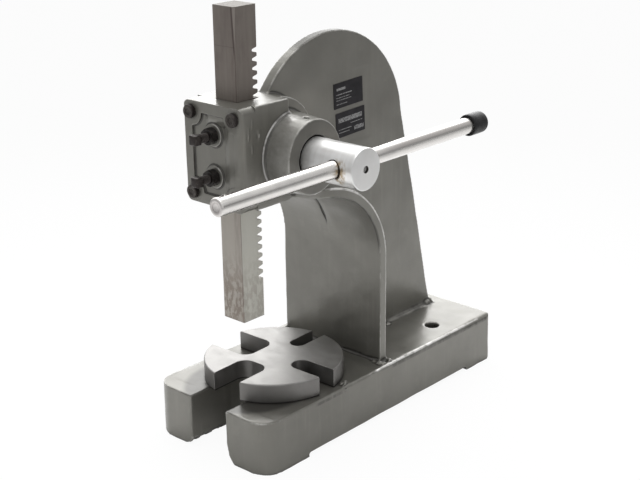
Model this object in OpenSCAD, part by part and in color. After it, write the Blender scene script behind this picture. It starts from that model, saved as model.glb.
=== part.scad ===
// Rack and pinion arbor press: a cast C-frame, a toothed ram, a geared handle shaft and
// a slotted work plate. +Z is up, the work side is -Y and the handle side is +X.
// The origin is on the bench plane, straight below the axis of the ram.

/* [Base] */
// Width of the base across both arms
base_w = 141; // [130:1:170]
// Height of the base's top face above the bench
base_h = 50; // [46:1:60]
// From the ram axis forward to the ends of the arms
arm_reach = 49; // [42:1:70]
// From the ram axis back to the base's rear end
rear_reach = 282; // [276:1:330]
// Corner radius at the front ends of the arms
arm_corner_r = 19; // [10:1:24]
// Corner radius at the rear
rear_corner_r = 5; // [3:1:15]
// Width of the open slot between the arms
fork_w = 44.5; // [38:0.5:50]
// From the ram axis back to the round end of that slot
fork_back = 19; // [17:1:22]
// Width of the rounded-off lower edges along that slot
slot_break_w = 9; // [4:1:12]
// Height of the rounded-off lower edge on the left arm
slot_break_left_h = 7; // [4:1:14]
// Height of the rounded-off lower edge on the right arm
slot_break_right_h = 19; // [8:1:24]
// Rise of the underside between the front and rear feet
foot_rise = 3.5; // [2:0.5:8]
// From the ram axis back to the end of the front feet
front_foot_back = 6; // [4:1:20]
// Length of the rear foot
rear_foot_l = 41; // [30:1:60]
// Wall around the cored hollow under the column
core_wall = 12; // [9:1:18]
// Thickness of the base's top above that hollow
core_roof = 17; // [12:1:24]
// From the ram axis back to the front of that hollow
core_front = 72; // [66:1:90]
// Corner radius of that hollow
core_corner_r = 8; // [4:1:12]
// Diameter of the two bench bolt holes
bench_hole_d = 14; // [9:0.5:16]
// Distance between the two bench bolt holes
bench_hole_gap = 88; // [60:1:96]
// From the ram axis back to the bench bolt holes
bench_hole_back = 217.5; // [195:0.5:245]

/* [Column] */
// Throat, from the ram axis to the front face of the flange
throat = 116; // [112:1:130]
// Thickness of the flange that lines the throat
flange_t = 9; // [8:1:14]
// Width of the flange
flange_w = 121.5; // [110:0.5:129]
// Radius of the bend at the top of the throat
flange_r = 75; // [60:1:80]
// Corner radius of the flange's front edge, in plan
flange_corner_r = 29; // [20:1:34]
// From the head's rear back to the flange's front edge
flange_set_back = 3; // [1:1:6]
// Thickness of the web behind the flange
web_t = 10; // [8:1:16]
// Radius of the web's round top
web_top_r = 101.5; // [97:0.5:106]
// From the ram axis back to the centre of that round top
web_top_back = 113; // [108:0.5:118]
// From the shaft axis down to the centre of that round top
web_top_drop = 13; // [10:1:18]
// From the ram axis back to the foot of the web's rear edge
web_foot_back = 264.5; // [256:0.5:272]

/* [Head] */
// Width of the head block
head_w = 69; // [66:1:76]
// Height of the head block
head_h = 89; // [87:1:96]
// From the shaft axis up to the middle of the head
head_rise = 3; // [2:0.5:4]
// From the ram axis back to the rear of the square part of the head
head_back = 27; // [25:0.5:31]
// Width of the round shoulder behind it
shoulder_w = 44; // [38:1:52]
// Radius of that shoulder around the shaft
shoulder_r = 43.5; // [42:0.5:44]
// Radius of the shaft boss where it leaves the head
boss_root_r = 34.5; // [34:0.5:37]
// Radius of the shaft boss at its face
boss_face_r = 32.5; // [30:0.5:34]
// The ring that closes the boss's mouth round the shaft: its opening
mouth_d = 38.5; // [37:0.5:42]
// and its thickness
mouth_t = 2.5; // [1.5:0.5:2.5]
// Length of the shaft boss
boss_l = 26.5; // [20:0.5:36]
// Radius of the small boss on the far side
far_boss_r = 26; // [23:0.5:30]
// Length of the small boss on the far side
far_boss_l = 5; // [3:1:10]
// Diameter of the oil hole in the top of the boss
oil_hole_d = 5; // [3:0.5:6]
// From the head's side out to the oil hole
oil_hole_out = 17; // [8:1:20]

/* [Cover] */
// Thickness of the cover plate
cover_t = 16.4; // [14:0.2:20]
// Corner radius of the cover plate
cover_corner_r = 6; // [3:1:9]
// Depth of the recessed panel in the cover's face
panel_depth = 2; // [1:0.5:3]
// Width of the plain rim around that panel
panel_rim = 9.5; // [8:0.5:10]
// Corner radius of that panel
panel_corner_r = 2; // [1:0.5:4]
// From each side edge in to the cover screws
cover_screw_in = 9; // [8:0.5:10]
// From the top and bottom edges in to the cover screws
cover_screw_drop = 9.5; // [8.5:0.5:11]
// Diameter of the cover screws' shanks
cover_screw_d = 8; // [6:1:8]
// Diameter of the cover screws' heads
cover_head_d = 12; // [10:1:13]
// Height of the cover screws' heads
cover_head_h = 4; // [3:0.5:6]
// Depth of the cover screws' holes in the head
cover_screw_depth = 20; // [16:1:24]
// Distance between the two adjusting screws
adjuster_gap = 36; // [34:1:44]
// Diameter of the adjusting screws
adjuster_d = 8; // [6:1:10]
// Length of screw that stands out past the locknut
adjuster_out = 16; // [12:1:20]
// Width across flats of the adjusting screws' square ends
adjuster_flats = 9; // [8:0.5:11]
// Length of the adjusting screws' square ends
adjuster_end_l = 7; // [5:0.5:9]
// Radius of the round pad under each locknut
nut_pad_r = 10; // [9:0.5:12]
// Width across flats of the locknuts
nut_flats = 13; // [13:0.5:16]
// Thickness of the locknuts
nut_t = 7; // [5:0.5:9]
// Width of the gib strip that guides the ram
gib_w = 22; // [18:1:24]
// Thickness of the gib strip
gib_t = 4; // [3:0.5:6]
// Solid left above and below the gib's pocket
gib_end = 5; // [4:0.5:8]
// Room in front of the gib, for the adjusting screws to push it back
gib_play = 0.5; // [0.2:0.1:1]

/* [Ram] */
// Side of the square ram
ram_w = 25; // [23:0.5:27]
// Length of the ram
ram_l = 276.5; // [260:0.5:310]
// Height of the ram's foot above the bench at rest
ram_foot_z = 118.5; // [108:0.5:135]
// Plain length at the ram's foot, below the rack
rack_plain_l = 34.5; // [20:0.5:45]
// Number of spaces cut in the rack
rack_spaces = 27; // [24:1:28]

/* [Shaft] */
// Gear module of the rack and the pinion
gear_module = 2.45; // [2.4:0.05:2.6]
// Number of pinion teeth
pinion_teeth = 16; // [15:1:18]
// Height of the shaft axis above the bench
shaft_z = 269; // [266:0.5:273]
// Diameter of the shaft's plain outer part
shaft_d = 36; // [32:0.5:38]
// From the boss's face out to the shaft's end
shaft_out = 55.5; // [48:0.5:70]
// From the handle's axis out to the shaft's end
handle_to_end = 21; // [16:0.5:24]
// How far the thick journal stops inside the boss's face
journal_in = 3; // [3:1:6]
// Diameter of the far journal
far_journal_d = 28; // [24:0.5:32]
// Diameter of the retaining washer
washer_d = 42; // [36:1:48]
// Thickness of the retaining washer
washer_t = 4; // [3:0.5:6]
// Diameter of the retaining screw
keeper_d = 6; // [5:1:8]
// How far the retaining screw goes into the shaft
keeper_depth = 14; // [10:1:20]
// Diameter of the retaining screw's head
keeper_head_d = 10; // [9:0.5:13]
// Height of the retaining screw's head
keeper_head_h = 5.5; // [4:0.5:8]
// Diameter of the centre hole in the shaft's end
centre_hole_d = 4.8; // [3:0.2:6]
// Depth of that centre hole
centre_hole_depth = 5; // [3:0.5:6]

/* [Handle] */
// Diameter of the handle rod
rod_d = 15; // [12:0.5:17]
// From the shaft axis forward to the rod's bare end
rod_front = 147; // [120:1:180]
// From the shaft axis back to the end of the cap
rod_back = 188; // [160:1:230]
// Length of the rubber cap
cap_l = 21; // [18:1:45]
// Wall of the rubber cap
cap_wall = 2.5; // [1.5:0.25:4]
// From the rod's bare end back to the turned groove
groove_in = 9; // [6:1:15]

/* [Work plate] */
// Diameter of the round work plate
plate_d = 129; // [118:1:136]
// Thickness of the work plate
plate_t = 18; // [14:0.5:20]
// From the ram axis back to the centre of the plate
plate_back = 35.5; // [33:0.5:40]
// Angle that the plate is turned at rest
plate_turn = 2; // [-10:1:10]
// Width of the front slot
front_slot_w = 31; // [24:0.5:36]
// From the plate's centre to the inner end of the front slot
front_slot_in = 23; // [18:0.5:28]
// Width of the right slot
right_slot_w = 19.5; // [16:0.5:24]
// From the plate's centre to the inner end of the right slot
right_slot_in = 25; // [20:0.5:32]
// Width of the back slot
back_slot_w = 15; // [10:0.5:20]
// From the plate's centre to the inner end of the back slot
back_slot_in = 26.7; // [20:0.1:34]
// Width of the left slot
left_slot_w = 38.5; // [32:0.5:42]
// From the plate's centre to the inner end of the left slot
left_slot_in = 16.8; // [14:0.1:24]
// Largest corner radius at the slots' inner ends
slot_corner_r = 11; // [6:1:12]
// Bevel around the plate's top edge
plate_bevel = 1; // [0.5:0.25:2]
// Diameter of the pivot pin under the plate
pivot_d = 12; // [10:0.5:14]
// Length of the pivot pin
pivot_l = 30; // [24:1:34]
// How far the pivot pin is pressed into the plate
pivot_in_plate = 9; // [6:1:12]

/* [Labels] */
// Length of each label
label_l = 40; // [30:1:50]
// Height of each label
label_h = 23.5; // [18:0.5:26]
// Step between the upper and the lower label, towards the rear
label_step = 3; // [0:1:8]
// Gap between the two labels
label_gap = 4.5; // [1:0.5:6]
// Thickness of each label
label_t = 0.4; // [0.2:0.1:0.8]
// From the ram axis back to the front edge of the labels
label_back = 116; // [112:0.5:130]
// From the shaft axis up to the upper label's lower edge
label_rise = 16.5; // [12:0.5:22]
// How far the labels tilt, their rear ends up, as they were stuck on by hand
label_tilt = 2.5; // [0:0.5:4]

/* [Hidden] */
$fn = 96;

// Clearances
slide_gap = 0.2;      // each side of the ram, and along the shaft
running_gap = 0.05;   // radial, a shaft in its bore
thread_gap = 0.05;    // radial, a screw in its thread, drawn plain
rod_gap = 0.1;        // radial, the handle in the shaft's cross hole
tip_gap = 0.25;       // radial, from the pinion's tooth tips to the journal beside them
face_gap = 0.3;       // between faces that turn past each other
joint_gap = 0.4;      // from the ram's channel forward to the cover's back
seat_gap = 0.01;      // radial, pieces that are pressed together
hole_end_gap = 2;     // from a screw's tip to the end of its hole
cut = 1;              // how far a cutter runs past the face that it cuts
sunk = 0.5;           // how far one shape of a piece runs into its neighbour
socket_share = 0.55;  // a screw's hexagon socket across its corners, against its head's diameter
socket_depth = 0.6;   // the socket's depth, against the head's height

// Gear form: full-depth teeth at 20 degrees, shifted so that the pinion isn't undercut
pressure_angle = 20;
tooth_shift = 0.1;
backlash = 0.3;
root_space = 0.25;
gear_pitch = PI * gear_module;
pitch_r = gear_module * pinion_teeth / 2;
base_r = pitch_r * cos(pressure_angle);
pinion_tip_r = pitch_r + gear_module * (1 + tooth_shift);
pinion_root_r = pitch_r - gear_module * (1 + root_space - tooth_shift);
flank_points = 5;
tooth_space_half = gear_pitch / 4;

// The rack's spaces, and the pinion tooth that stands in the nearest one
first_space_z = ram_foot_z + rack_plain_l + gear_pitch / 2;
meshed_space = round((shaft_z - first_space_z) / gear_pitch);
mesh_z = first_space_z + meshed_space * gear_pitch - shaft_z;
mesh_angle = 180 - mesh_z / pitch_r * 180 / PI;

// Places that follow from the sizes above
ram_half = ram_w / 2;
rack_line_y = ram_half - gear_module;
shaft_y = rack_line_y + pitch_r + gear_module * tooth_shift;
head_half = head_w / 2;
channel_half = ram_half + slide_gap;
cover_back_y = -channel_half - joint_gap;
cover_face_y = cover_back_y - cover_t;
head_mid_z = shaft_z + head_rise;
head_z = head_mid_z - head_h / 2;
boss_face_x = head_half + boss_l;
far_face_x = -head_half - far_boss_l;
journal_r = pinion_tip_r + tip_gap;
pinion_half_l = ram_half + gear_module;
bore_end_x = -pinion_half_l - face_gap;
shaft_end_x = boss_face_x + shaft_out;
handle_x = shaft_end_x - handle_to_end;
washer_x = far_face_x - face_gap;
screw_x = head_half - cover_screw_in;
screw_dz = head_h / 2 - cover_screw_drop;
screw_pad_r = cover_head_d / 2 + 6;
adjuster_z = [head_mid_z + adjuster_gap / 2, head_mid_z - adjuster_gap / 2];
gib_face_y = -channel_half;
gib_front_y = gib_face_y - gib_t;
gib_h = head_h - 2 * gib_end;
bend_y = throat - flange_r;
bend_z = head_z + 2 * sunk - flange_r;
web_top_z = shaft_z - web_top_drop;
pivot_z = base_h + pivot_in_plate - pivot_l;
upper_label_z = shaft_z + label_rise;
lower_label_z = upper_label_z - label_gap - label_h;

// Turns a drawing of Y across and Z up into a slab of width w, centred on X = 0
module side_slab(w) {
    rotate([90, 0, 90]) linear_extrude(w, center = true) children();
}

// A cylinder along +X from x0 to x1, round the shaft's axis
module shaft_turn(x0, x1, r) {
    translate([x0, shaft_y, shaft_z]) rotate([0, 90, 0]) cylinder(h = x1 - x0, r = r);
}

// A cylinder at x and z that runs forward along -Y, from y_from to y_to
module front_drill(x, z, y_from, y_to, d) {
    translate([x, y_from, z]) rotate([90, 0, 0]) cylinder(h = y_from - y_to, d = d);
}

// Socket-head screw with its head up, and the seat of the head at z = 0
module cap_screw(shank_d, shank_l, head_d, head_h) {
    difference() {
        union() {
            translate([0, 0, -shank_l]) cylinder(h = shank_l + sunk, d = shank_d);
            cylinder(h = head_h, d = head_d);
        }
        translate([0, 0, head_h * (1 - socket_depth)]) rotate(30)
            cylinder(h = head_h, d = head_d * socket_share, $fn = 6);
    }
}

// A rectangle with its own radius at the front and at the rear corners
module rounded_rect(half_w, y0, y1, r_front, r_rear) {
    translate([-half_w, y0 + r_front]) square([2 * half_w, y1 - y0 - r_front - r_rear]);
    translate([-half_w + r_front, y0]) square([2 * (half_w - r_front), y1 - y0 - r_rear]);
    translate([-half_w + r_rear, y0 + r_front]) square([2 * (half_w - r_rear), y1 - y0 - r_front]);
    for (side = [-1, 1]) {
        translate([side * (half_w - r_front), y0 + r_front]) circle(r = r_front);
        translate([side * (half_w - r_rear), y1 - r_rear]) circle(r = r_rear);
    }
}

// ---- frame casting ----

module base_plan() {
    difference() {
        rounded_rect(base_w / 2, -arm_reach, rear_reach, arm_corner_r, rear_corner_r);
        translate([-fork_w / 2, -arm_reach - cut])
            square([fork_w, arm_reach + cut + fork_back - fork_w / 2]);
        translate([0, fork_back - fork_w / 2]) circle(d = fork_w);
    }
}

module base_block() {
    difference() {
        linear_extrude(base_h) base_plan();
        underside_arch();
        underside_core();
        slot_edge_break(-1, slot_break_left_h);
        slot_edge_break(1, slot_break_right_h);
        for (side = [-1, 1])
            translate([side * bench_hole_gap / 2, bench_hole_back, -cut])
                cylinder(h = base_h + 2 * cut, d = bench_hole_d);
        translate([0, plate_back, pivot_z - cut])
            cylinder(h = pivot_l, d = pivot_d + 2 * running_gap);
    }
}

module underside_arch() {
    translate([-base_w / 2 - cut, front_foot_back, -cut])
        cube([base_w + 2 * cut, rear_reach - rear_foot_l - front_foot_back, foot_rise + cut]);
}

module underside_core() {
    half_w = base_w / 2 - core_wall;
    back_y = rear_reach - core_wall;
    translate([0, 0, -cut]) linear_extrude(base_h - core_roof + cut)
        rounded_rect(half_w, core_front, back_y, core_corner_r, core_corner_r);
}

// Takes off the lower edge of the slot's wall, as a bulge between the wall and the underside
module slot_edge_break(side, break_h) {
    edge = side * fork_w / 2;
    bulge = 0.35;
    translate([0, front_foot_back, 0]) rotate([90, 0, 0])
        linear_extrude(arm_reach + front_foot_back + cut)
            polygon([
                [edge - side * cut, -cut],
                [edge + side * slot_break_w, -cut],
                [edge + side * slot_break_w, 0],
                [edge + side * slot_break_w * bulge, break_h * bulge],
                [edge, break_h],
                [edge - side * cut, break_h]
            ]);
}

// The open throat as drawn from the side, with its bend at radius r
module throat_shape(r) {
    far = arm_reach + rear_reach;
    translate([bend_y - far, -cut]) square([far + r, bend_z + cut]);
    translate([bend_y, bend_z]) circle(r = r);
    translate([bend_y - far, -cut]) square([far, bend_z + r + cut]);
}

// The flange in plan: rounded front corners, and a neck as wide as the head that meets it
module flange_plan() {
    front_y = head_back + flange_set_back;
    rounded_rect(flange_w / 2, front_y, throat + flange_t + cut, flange_corner_r, cut);
    translate([-head_half, head_back - sunk]) square([head_w, flange_set_back + flange_corner_r]);
}

module flange() {
    top_z = bend_z + flange_r + flange_t;
    intersection() {
        side_slab(flange_w) difference() {
            throat_shape(flange_r + flange_t);
            throat_shape(flange_r);
            translate([-rear_reach, -2 * cut]) square([3 * rear_reach, base_h + cut]);
        }
        linear_extrude(top_z + 2 * cut) flange_plan();
    }
}

// The rear edge runs from the foot up to a circle just inside the round top, so that it meets
// the round top smoothly
module web() {
    foot_dy = web_foot_back - web_top_back;
    foot_dz = base_h - web_top_z;
    inner_r = web_top_r - sunk;
    edge_angle = atan2(foot_dz, foot_dy) + acos(inner_r / norm([foot_dy, foot_dz]));
    edge_top = [web_top_back + inner_r * cos(edge_angle), web_top_z + inner_r * sin(edge_angle)];
    side_slab(web_t) difference() {
        union() {
            translate([web_top_back, web_top_z]) circle(r = web_top_r);
            polygon([
                [throat, base_h - sunk], [web_foot_back, base_h - sunk], edge_top,
                [web_top_back, web_top_z], [throat, web_top_z]
            ]);
        }
        throat_shape(flange_r + flange_t / 2);
    }
}

// The round back of the head, which starts just inside its square part
module head_shoulder() {
    intersection() {
        translate([-shoulder_w / 2, head_back - sunk, head_mid_z]) rotate([0, 90, 0])
            cylinder(h = shoulder_w, r = shoulder_r);
        translate([-head_half, head_back - sunk, head_z]) cube([head_w, 2 * shoulder_r, head_h]);
    }
}

// The shaft's boss tapers outside the head and runs straight back to the head's middle
module shaft_bosses() {
    shaft_turn(0, head_half, boss_root_r);
    translate([head_half, shaft_y, shaft_z]) rotate([0, 90, 0])
        cylinder(h = boss_l, r1 = boss_root_r, r2 = boss_face_r);
    shaft_turn(far_face_x, 0, far_boss_r);
}

module head_block() {
    translate([-head_half, cover_back_y, head_z]) cube([head_w, head_back - cover_back_y, head_h]);
    head_shoulder();
    shaft_bosses();
}

module head_cuts() {
    translate([-channel_half, cover_back_y - cut, head_z - cut])
        cube([2 * channel_half, channel_half - cover_back_y + cut, head_h + 2 * cut]);
    shaft_turn(bore_end_x, boss_face_x - mouth_t, journal_r + running_gap);
    shaft_turn(boss_face_x - mouth_t - cut, boss_face_x + cut, mouth_d / 2);
    shaft_turn(far_face_x - cut, 0, far_journal_d / 2 + running_gap);
    translate([head_half + oil_hole_out, shaft_y, shaft_z])
        cylinder(h = boss_root_r + cut, d = oil_hole_d);
    for (x = [-screw_x, screw_x], z = [-screw_dz, screw_dz])
        front_drill(x, head_mid_z + z, cover_back_y + cover_screw_depth, cover_back_y - cut,
            cover_screw_d + 2 * thread_gap);
}

module frame_casting() {
    color([0.43, 0.43, 0.41]) difference() {
        union() {
            base_block();
            flange();
            web();
            head_block();
        }
        head_cuts();
    }
}

// ---- cover, its screws and the gib ----

module cover_outline() {
    translate([0, head_z]) rounded_rect(head_half, 0, head_h, cover_corner_r, cover_corner_r);
}

module panel_outline() {
    half_w = head_half - panel_rim;
    difference() {
        translate([0, head_z])
            rounded_rect(half_w, panel_rim, head_h - panel_rim, panel_corner_r, panel_corner_r);
        for (x = [-1, 1], z = [-1, 1])
            translate([x * screw_x, head_mid_z + z * screw_dz]) circle(r = screw_pad_r);
        for (z = adjuster_z) translate([0, z]) circle(r = nut_pad_r);
    }
}

// Stands a drawing of X across and Z up on edge, from y0 forward by t
module front_slab(y0, t) {
    translate([0, y0, 0]) rotate([90, 0, 0]) linear_extrude(t) children();
}

module cover_plate() {
    color([0.46, 0.46, 0.44]) difference() {
        front_slab(cover_back_y, cover_t) cover_outline();
        front_slab(cover_face_y + panel_depth, panel_depth + cut) panel_outline();
        for (x = [-screw_x, screw_x], z = [-screw_dz, screw_dz])
            front_drill(x, head_mid_z + z, cover_back_y + cut, cover_face_y - cut,
                cover_screw_d + 2 * thread_gap);
        for (z = adjuster_z)
            front_drill(0, z, cover_back_y + cut, cover_face_y - cut, adjuster_d + 2 * thread_gap);
        translate([-gib_w / 2 - slide_gap, gib_front_y - gib_play, head_mid_z - gib_h / 2 - slide_gap])
            cube([gib_w + 2 * slide_gap, gib_t + gib_play + cut, gib_h + 2 * slide_gap]);
    }
}

module cover_screw(x_side, z_side) {
    shank_l = cover_t + cover_screw_depth - hole_end_gap;
    color([0.13, 0.13, 0.13])
        translate([x_side * screw_x, cover_face_y, head_mid_z + z_side * screw_dz]) rotate([90, 0, 0])
            cap_screw(cover_screw_d, shank_l, cover_head_d, cover_head_h);
}

module gib_strip() {
    color([0.55, 0.54, 0.50])
        translate([-gib_w / 2, gib_front_y, head_mid_z - gib_h / 2]) cube([gib_w, gib_t, gib_h]);
}

module adjusting_screw(z) {
    nut_face_y = cover_face_y - nut_t;
    end_y = nut_face_y - adjuster_out;
    color([0.12, 0.12, 0.12]) {
        front_drill(0, z, gib_front_y, end_y + adjuster_end_l - sunk, adjuster_d);
        translate([-adjuster_flats / 2, end_y, z - adjuster_flats / 2])
            cube([adjuster_flats, adjuster_end_l, adjuster_flats]);
    }
}

module locknut(z) {
    nut_corners = nut_flats / cos(30);
    color([0.12, 0.12, 0.12]) difference() {
        translate([0, cover_face_y, z]) rotate([90, 30, 0])
            cylinder(h = nut_t, d = nut_corners, $fn = 6);
        front_drill(0, z, cover_face_y + cut, cover_face_y - nut_t - cut, adjuster_d + 2 * thread_gap);
    }
}

// ---- ram ----

// Half-height of a rack space at a distance y from the ram's axis
function space_half(y) = tooth_space_half + (y - rack_line_y) * tan(pressure_angle);

// The corners of rack space number i, counted up from the ram's foot
function rack_space(i) =
    let (z = first_space_z + i * gear_pitch, root_y = rack_line_y - gear_module * (1 + root_space))
    [
        [ram_half, z - space_half(ram_half)],
        [root_y, z - space_half(root_y)],
        [root_y, z + space_half(root_y)],
        [ram_half, z + space_half(ram_half)]
    ];

module ram() {
    color([0.50, 0.47, 0.44]) side_slab(ram_w)
        polygon(concat(
            [[-ram_half, ram_foot_z + ram_l], [-ram_half, ram_foot_z], [ram_half, ram_foot_z]],
            [for (i = [0 : rack_spaces - 1]) each rack_space(i)],
            [[ram_half, ram_foot_z + ram_l]]));
}

// ---- pinion shaft and its keeper ----

// A point of the involute, at roll angle t in degrees
function involute(t) =
    let (roll = t * PI / 180)
    base_r * [cos(t) + roll * sin(t), sin(t) - roll * cos(t)];

function turned(p, a) = [p[0] * cos(a) - p[1] * sin(a), p[0] * sin(a) + p[1] * cos(a)];

// The outline of one pinion tooth whose middle lies at angle a
function tooth_outline(a) =
    let (
        half_t = tooth_space_half + gear_module * tooth_shift * tan(pressure_angle) - backlash / 2,
        half_a = half_t / pitch_r * 180 / PI + tan(pressure_angle) * 180 / PI - pressure_angle,
        tip_t = sqrt(pow(pinion_tip_r / base_r, 2) - 1) * 180 / PI,
        flank = [for (i = [0 : flank_points]) turned(involute(tip_t * i / flank_points), -half_a)],
        foot = turned([pinion_root_r, 0], -half_a),
        side = concat([foot], flank)
    )
    [
        for (p = side) turned(p, a),
        for (i = [len(side) - 1 : -1 : 0]) turned([side[i][0], -side[i][1]], a)
    ];

module pinion_teeth_slab() {
    translate([-pinion_half_l, shaft_y, shaft_z]) rotate([90, 0, 90])
        linear_extrude(2 * pinion_half_l)
            polygon([
                for (i = [0 : pinion_teeth - 1]) each tooth_outline(mesh_angle + i * 360 / pinion_teeth)
            ]);
}

module pinion_shaft() {
    end_bevel = 1;
    color([0.78, 0.78, 0.78]) difference() {
        union() {
            shaft_turn(washer_x, -pinion_half_l + sunk, far_journal_d / 2);
            pinion_teeth_slab();
            shaft_turn(pinion_half_l - sunk, boss_face_x - journal_in, journal_r);
            shaft_turn(boss_face_x - journal_in - sunk, shaft_end_x - end_bevel, shaft_d / 2);
            translate([shaft_end_x - end_bevel, shaft_y, shaft_z]) rotate([0, 90, 0])
                cylinder(h = end_bevel, r1 = shaft_d / 2, r2 = shaft_d / 2 - end_bevel);
        }
        translate([handle_x, shaft_y + shaft_d, shaft_z]) rotate([90, 0, 0])
            cylinder(h = 2 * shaft_d, d = rod_d + 2 * rod_gap);
        shaft_turn(shaft_end_x - centre_hole_depth, shaft_end_x + cut, centre_hole_d / 2);
        shaft_turn(washer_x - cut, washer_x + keeper_depth + hole_end_gap, keeper_d / 2 + thread_gap);
    }
}

module retaining_washer() {
    color([0.72, 0.72, 0.72]) difference() {
        shaft_turn(washer_x - washer_t, washer_x, washer_d / 2);
        shaft_turn(washer_x - washer_t - cut, washer_x + cut, keeper_d / 2 + thread_gap);
    }
}

module retaining_screw() {
    color([0.13, 0.13, 0.13])
        translate([washer_x - washer_t, shaft_y, shaft_z]) rotate([0, -90, 0])
            cap_screw(keeper_d, washer_t + keeper_depth, keeper_head_d, keeper_head_h);
}

// ---- handle ----

// A cylinder along the handle's axis, between two distances back from the shaft's axis
module rod_turn(y0, y1, r) {
    translate([handle_x, shaft_y + y1, shaft_z]) rotate([90, 0, 0]) cylinder(h = y1 - y0, r = r);
}

module handle_rod() {
    bevel = 1.2;
    groove_w = 1.6;
    groove_depth = 0.6;
    bare_end = -rod_front;
    groove_y = bare_end + groove_in;
    color([0.85, 0.84, 0.82]) {
        translate([handle_x, shaft_y + bare_end + bevel, shaft_z]) rotate([90, 0, 0])
            cylinder(h = bevel, r1 = rod_d / 2, r2 = rod_d / 2 - bevel);
        rod_turn(bare_end + bevel, groove_y, rod_d / 2);
        rod_turn(groove_y, groove_y + groove_w, rod_d / 2 - groove_depth);
        rod_turn(groove_y + groove_w, rod_back - cap_wall, rod_d / 2);
    }
}

module handle_cap() {
    color([0.08, 0.08, 0.08]) difference() {
        rod_turn(rod_back - cap_l, rod_back, rod_d / 2 + cap_wall);
        rod_turn(rod_back - cap_l - cut, rod_back - cap_wall, rod_d / 2 + seat_gap);
    }
}

// ---- work plate ----

// A slot of width w that runs outwards from its inner end, at an angle from +X
module plate_slot(angle, w, inner) {
    r = min(w / 2, slot_corner_r);
    rotate(angle) {
        translate([inner + r, -w / 2]) square([plate_d, w]);
        if (w > 2 * r) translate([inner, -w / 2 + r]) square([r + sunk, w - 2 * r]);
        for (side = [-1, 1]) translate([inner + r, side * (w / 2 - r)]) circle(r = r);
    }
}

module plate_slots() {
    plate_slot(-90, front_slot_w, front_slot_in);
    plate_slot(0, right_slot_w, right_slot_in);
    plate_slot(90, back_slot_w, back_slot_in);
    plate_slot(180, left_slot_w, left_slot_in);
}

module work_plate() {
    color([0.66, 0.66, 0.64]) translate([0, plate_back, base_h]) rotate(plate_turn) difference() {
        union() {
            cylinder(h = plate_t - plate_bevel, d = plate_d);
            translate([0, 0, plate_t - plate_bevel])
                cylinder(h = plate_bevel, d1 = plate_d, d2 = plate_d - 2 * plate_bevel);
        }
        translate([0, 0, -cut]) linear_extrude(plate_t + 2 * cut) plate_slots();
        translate([0, 0, -cut]) cylinder(h = pivot_in_plate + cut, d = pivot_d + 2 * seat_gap);
    }
}

module plate_pivot_pin() {
    color([0.6, 0.6, 0.6]) translate([0, plate_back, pivot_z]) cylinder(h = pivot_l, d = pivot_d);
}

// ---- labels ----

// A label on the web's right face, turned about its middle. Before that turn its lower front
// corner lies back by y and up by z
module label(y, z) {
    color([0.16, 0.15, 0.17]) translate([web_t / 2, y + label_l / 2, z + label_h / 2])
        rotate([label_tilt, 0, 0]) translate([0, -label_l / 2, -label_h / 2]) cube([label_t, label_l, label_h]);
}

frame_casting();
cover_plate();
cover_screw(-1, 1);  // cover_screw_upper_left
cover_screw(1, 1);  // cover_screw_upper_right
cover_screw(-1, -1);  // cover_screw_lower_left
cover_screw(1, -1);  // cover_screw_lower_right
gib_strip();
adjusting_screw(adjuster_z[0]);  // adjusting_screw_upper
adjusting_screw(adjuster_z[1]);  // adjusting_screw_lower
locknut(adjuster_z[0]);  // locknut_upper
locknut(adjuster_z[1]);  // locknut_lower
ram();
pinion_shaft();
retaining_washer();
retaining_screw();
handle_rod();
handle_cap();
work_plate();
plate_pivot_pin();
label(label_back, upper_label_z);  // label_upper
label(label_back + label_step, lower_label_z);  // label_lower
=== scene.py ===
"""Looks of the arbor press: camera, light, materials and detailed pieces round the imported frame.

Lengths are in millimetres until a mesh is made, and Blender gets metres.
"""
import math
from contextlib import contextmanager
from functools import partial, reduce
from itertools import product

import bmesh
import bpy
import numpy as np
from mathutils import Matrix, Vector


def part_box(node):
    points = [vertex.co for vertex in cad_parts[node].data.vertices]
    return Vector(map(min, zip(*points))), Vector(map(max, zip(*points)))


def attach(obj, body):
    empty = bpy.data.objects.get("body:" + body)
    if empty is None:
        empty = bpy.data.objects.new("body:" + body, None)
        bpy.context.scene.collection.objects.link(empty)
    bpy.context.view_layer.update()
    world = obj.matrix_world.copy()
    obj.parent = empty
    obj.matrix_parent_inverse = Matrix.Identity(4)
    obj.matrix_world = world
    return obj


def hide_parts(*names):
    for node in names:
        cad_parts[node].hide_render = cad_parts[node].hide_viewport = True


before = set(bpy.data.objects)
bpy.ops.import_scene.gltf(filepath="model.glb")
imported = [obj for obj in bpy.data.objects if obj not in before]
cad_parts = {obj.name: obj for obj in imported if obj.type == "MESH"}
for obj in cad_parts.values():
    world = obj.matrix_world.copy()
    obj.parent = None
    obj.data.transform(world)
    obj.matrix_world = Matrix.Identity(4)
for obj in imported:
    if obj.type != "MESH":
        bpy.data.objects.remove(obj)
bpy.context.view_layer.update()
scene = bpy.context.scene
MM = 0.001
SEGMENTS = 96  # points round a turned piece


def cad_box(node):
    """Lowest and highest corner of a CAD node, in millimetres."""
    low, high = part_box(node)
    return np.array(low) / MM, np.array(high) / MM


# ---------------------------------------------------------------- places taken from the frame

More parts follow.
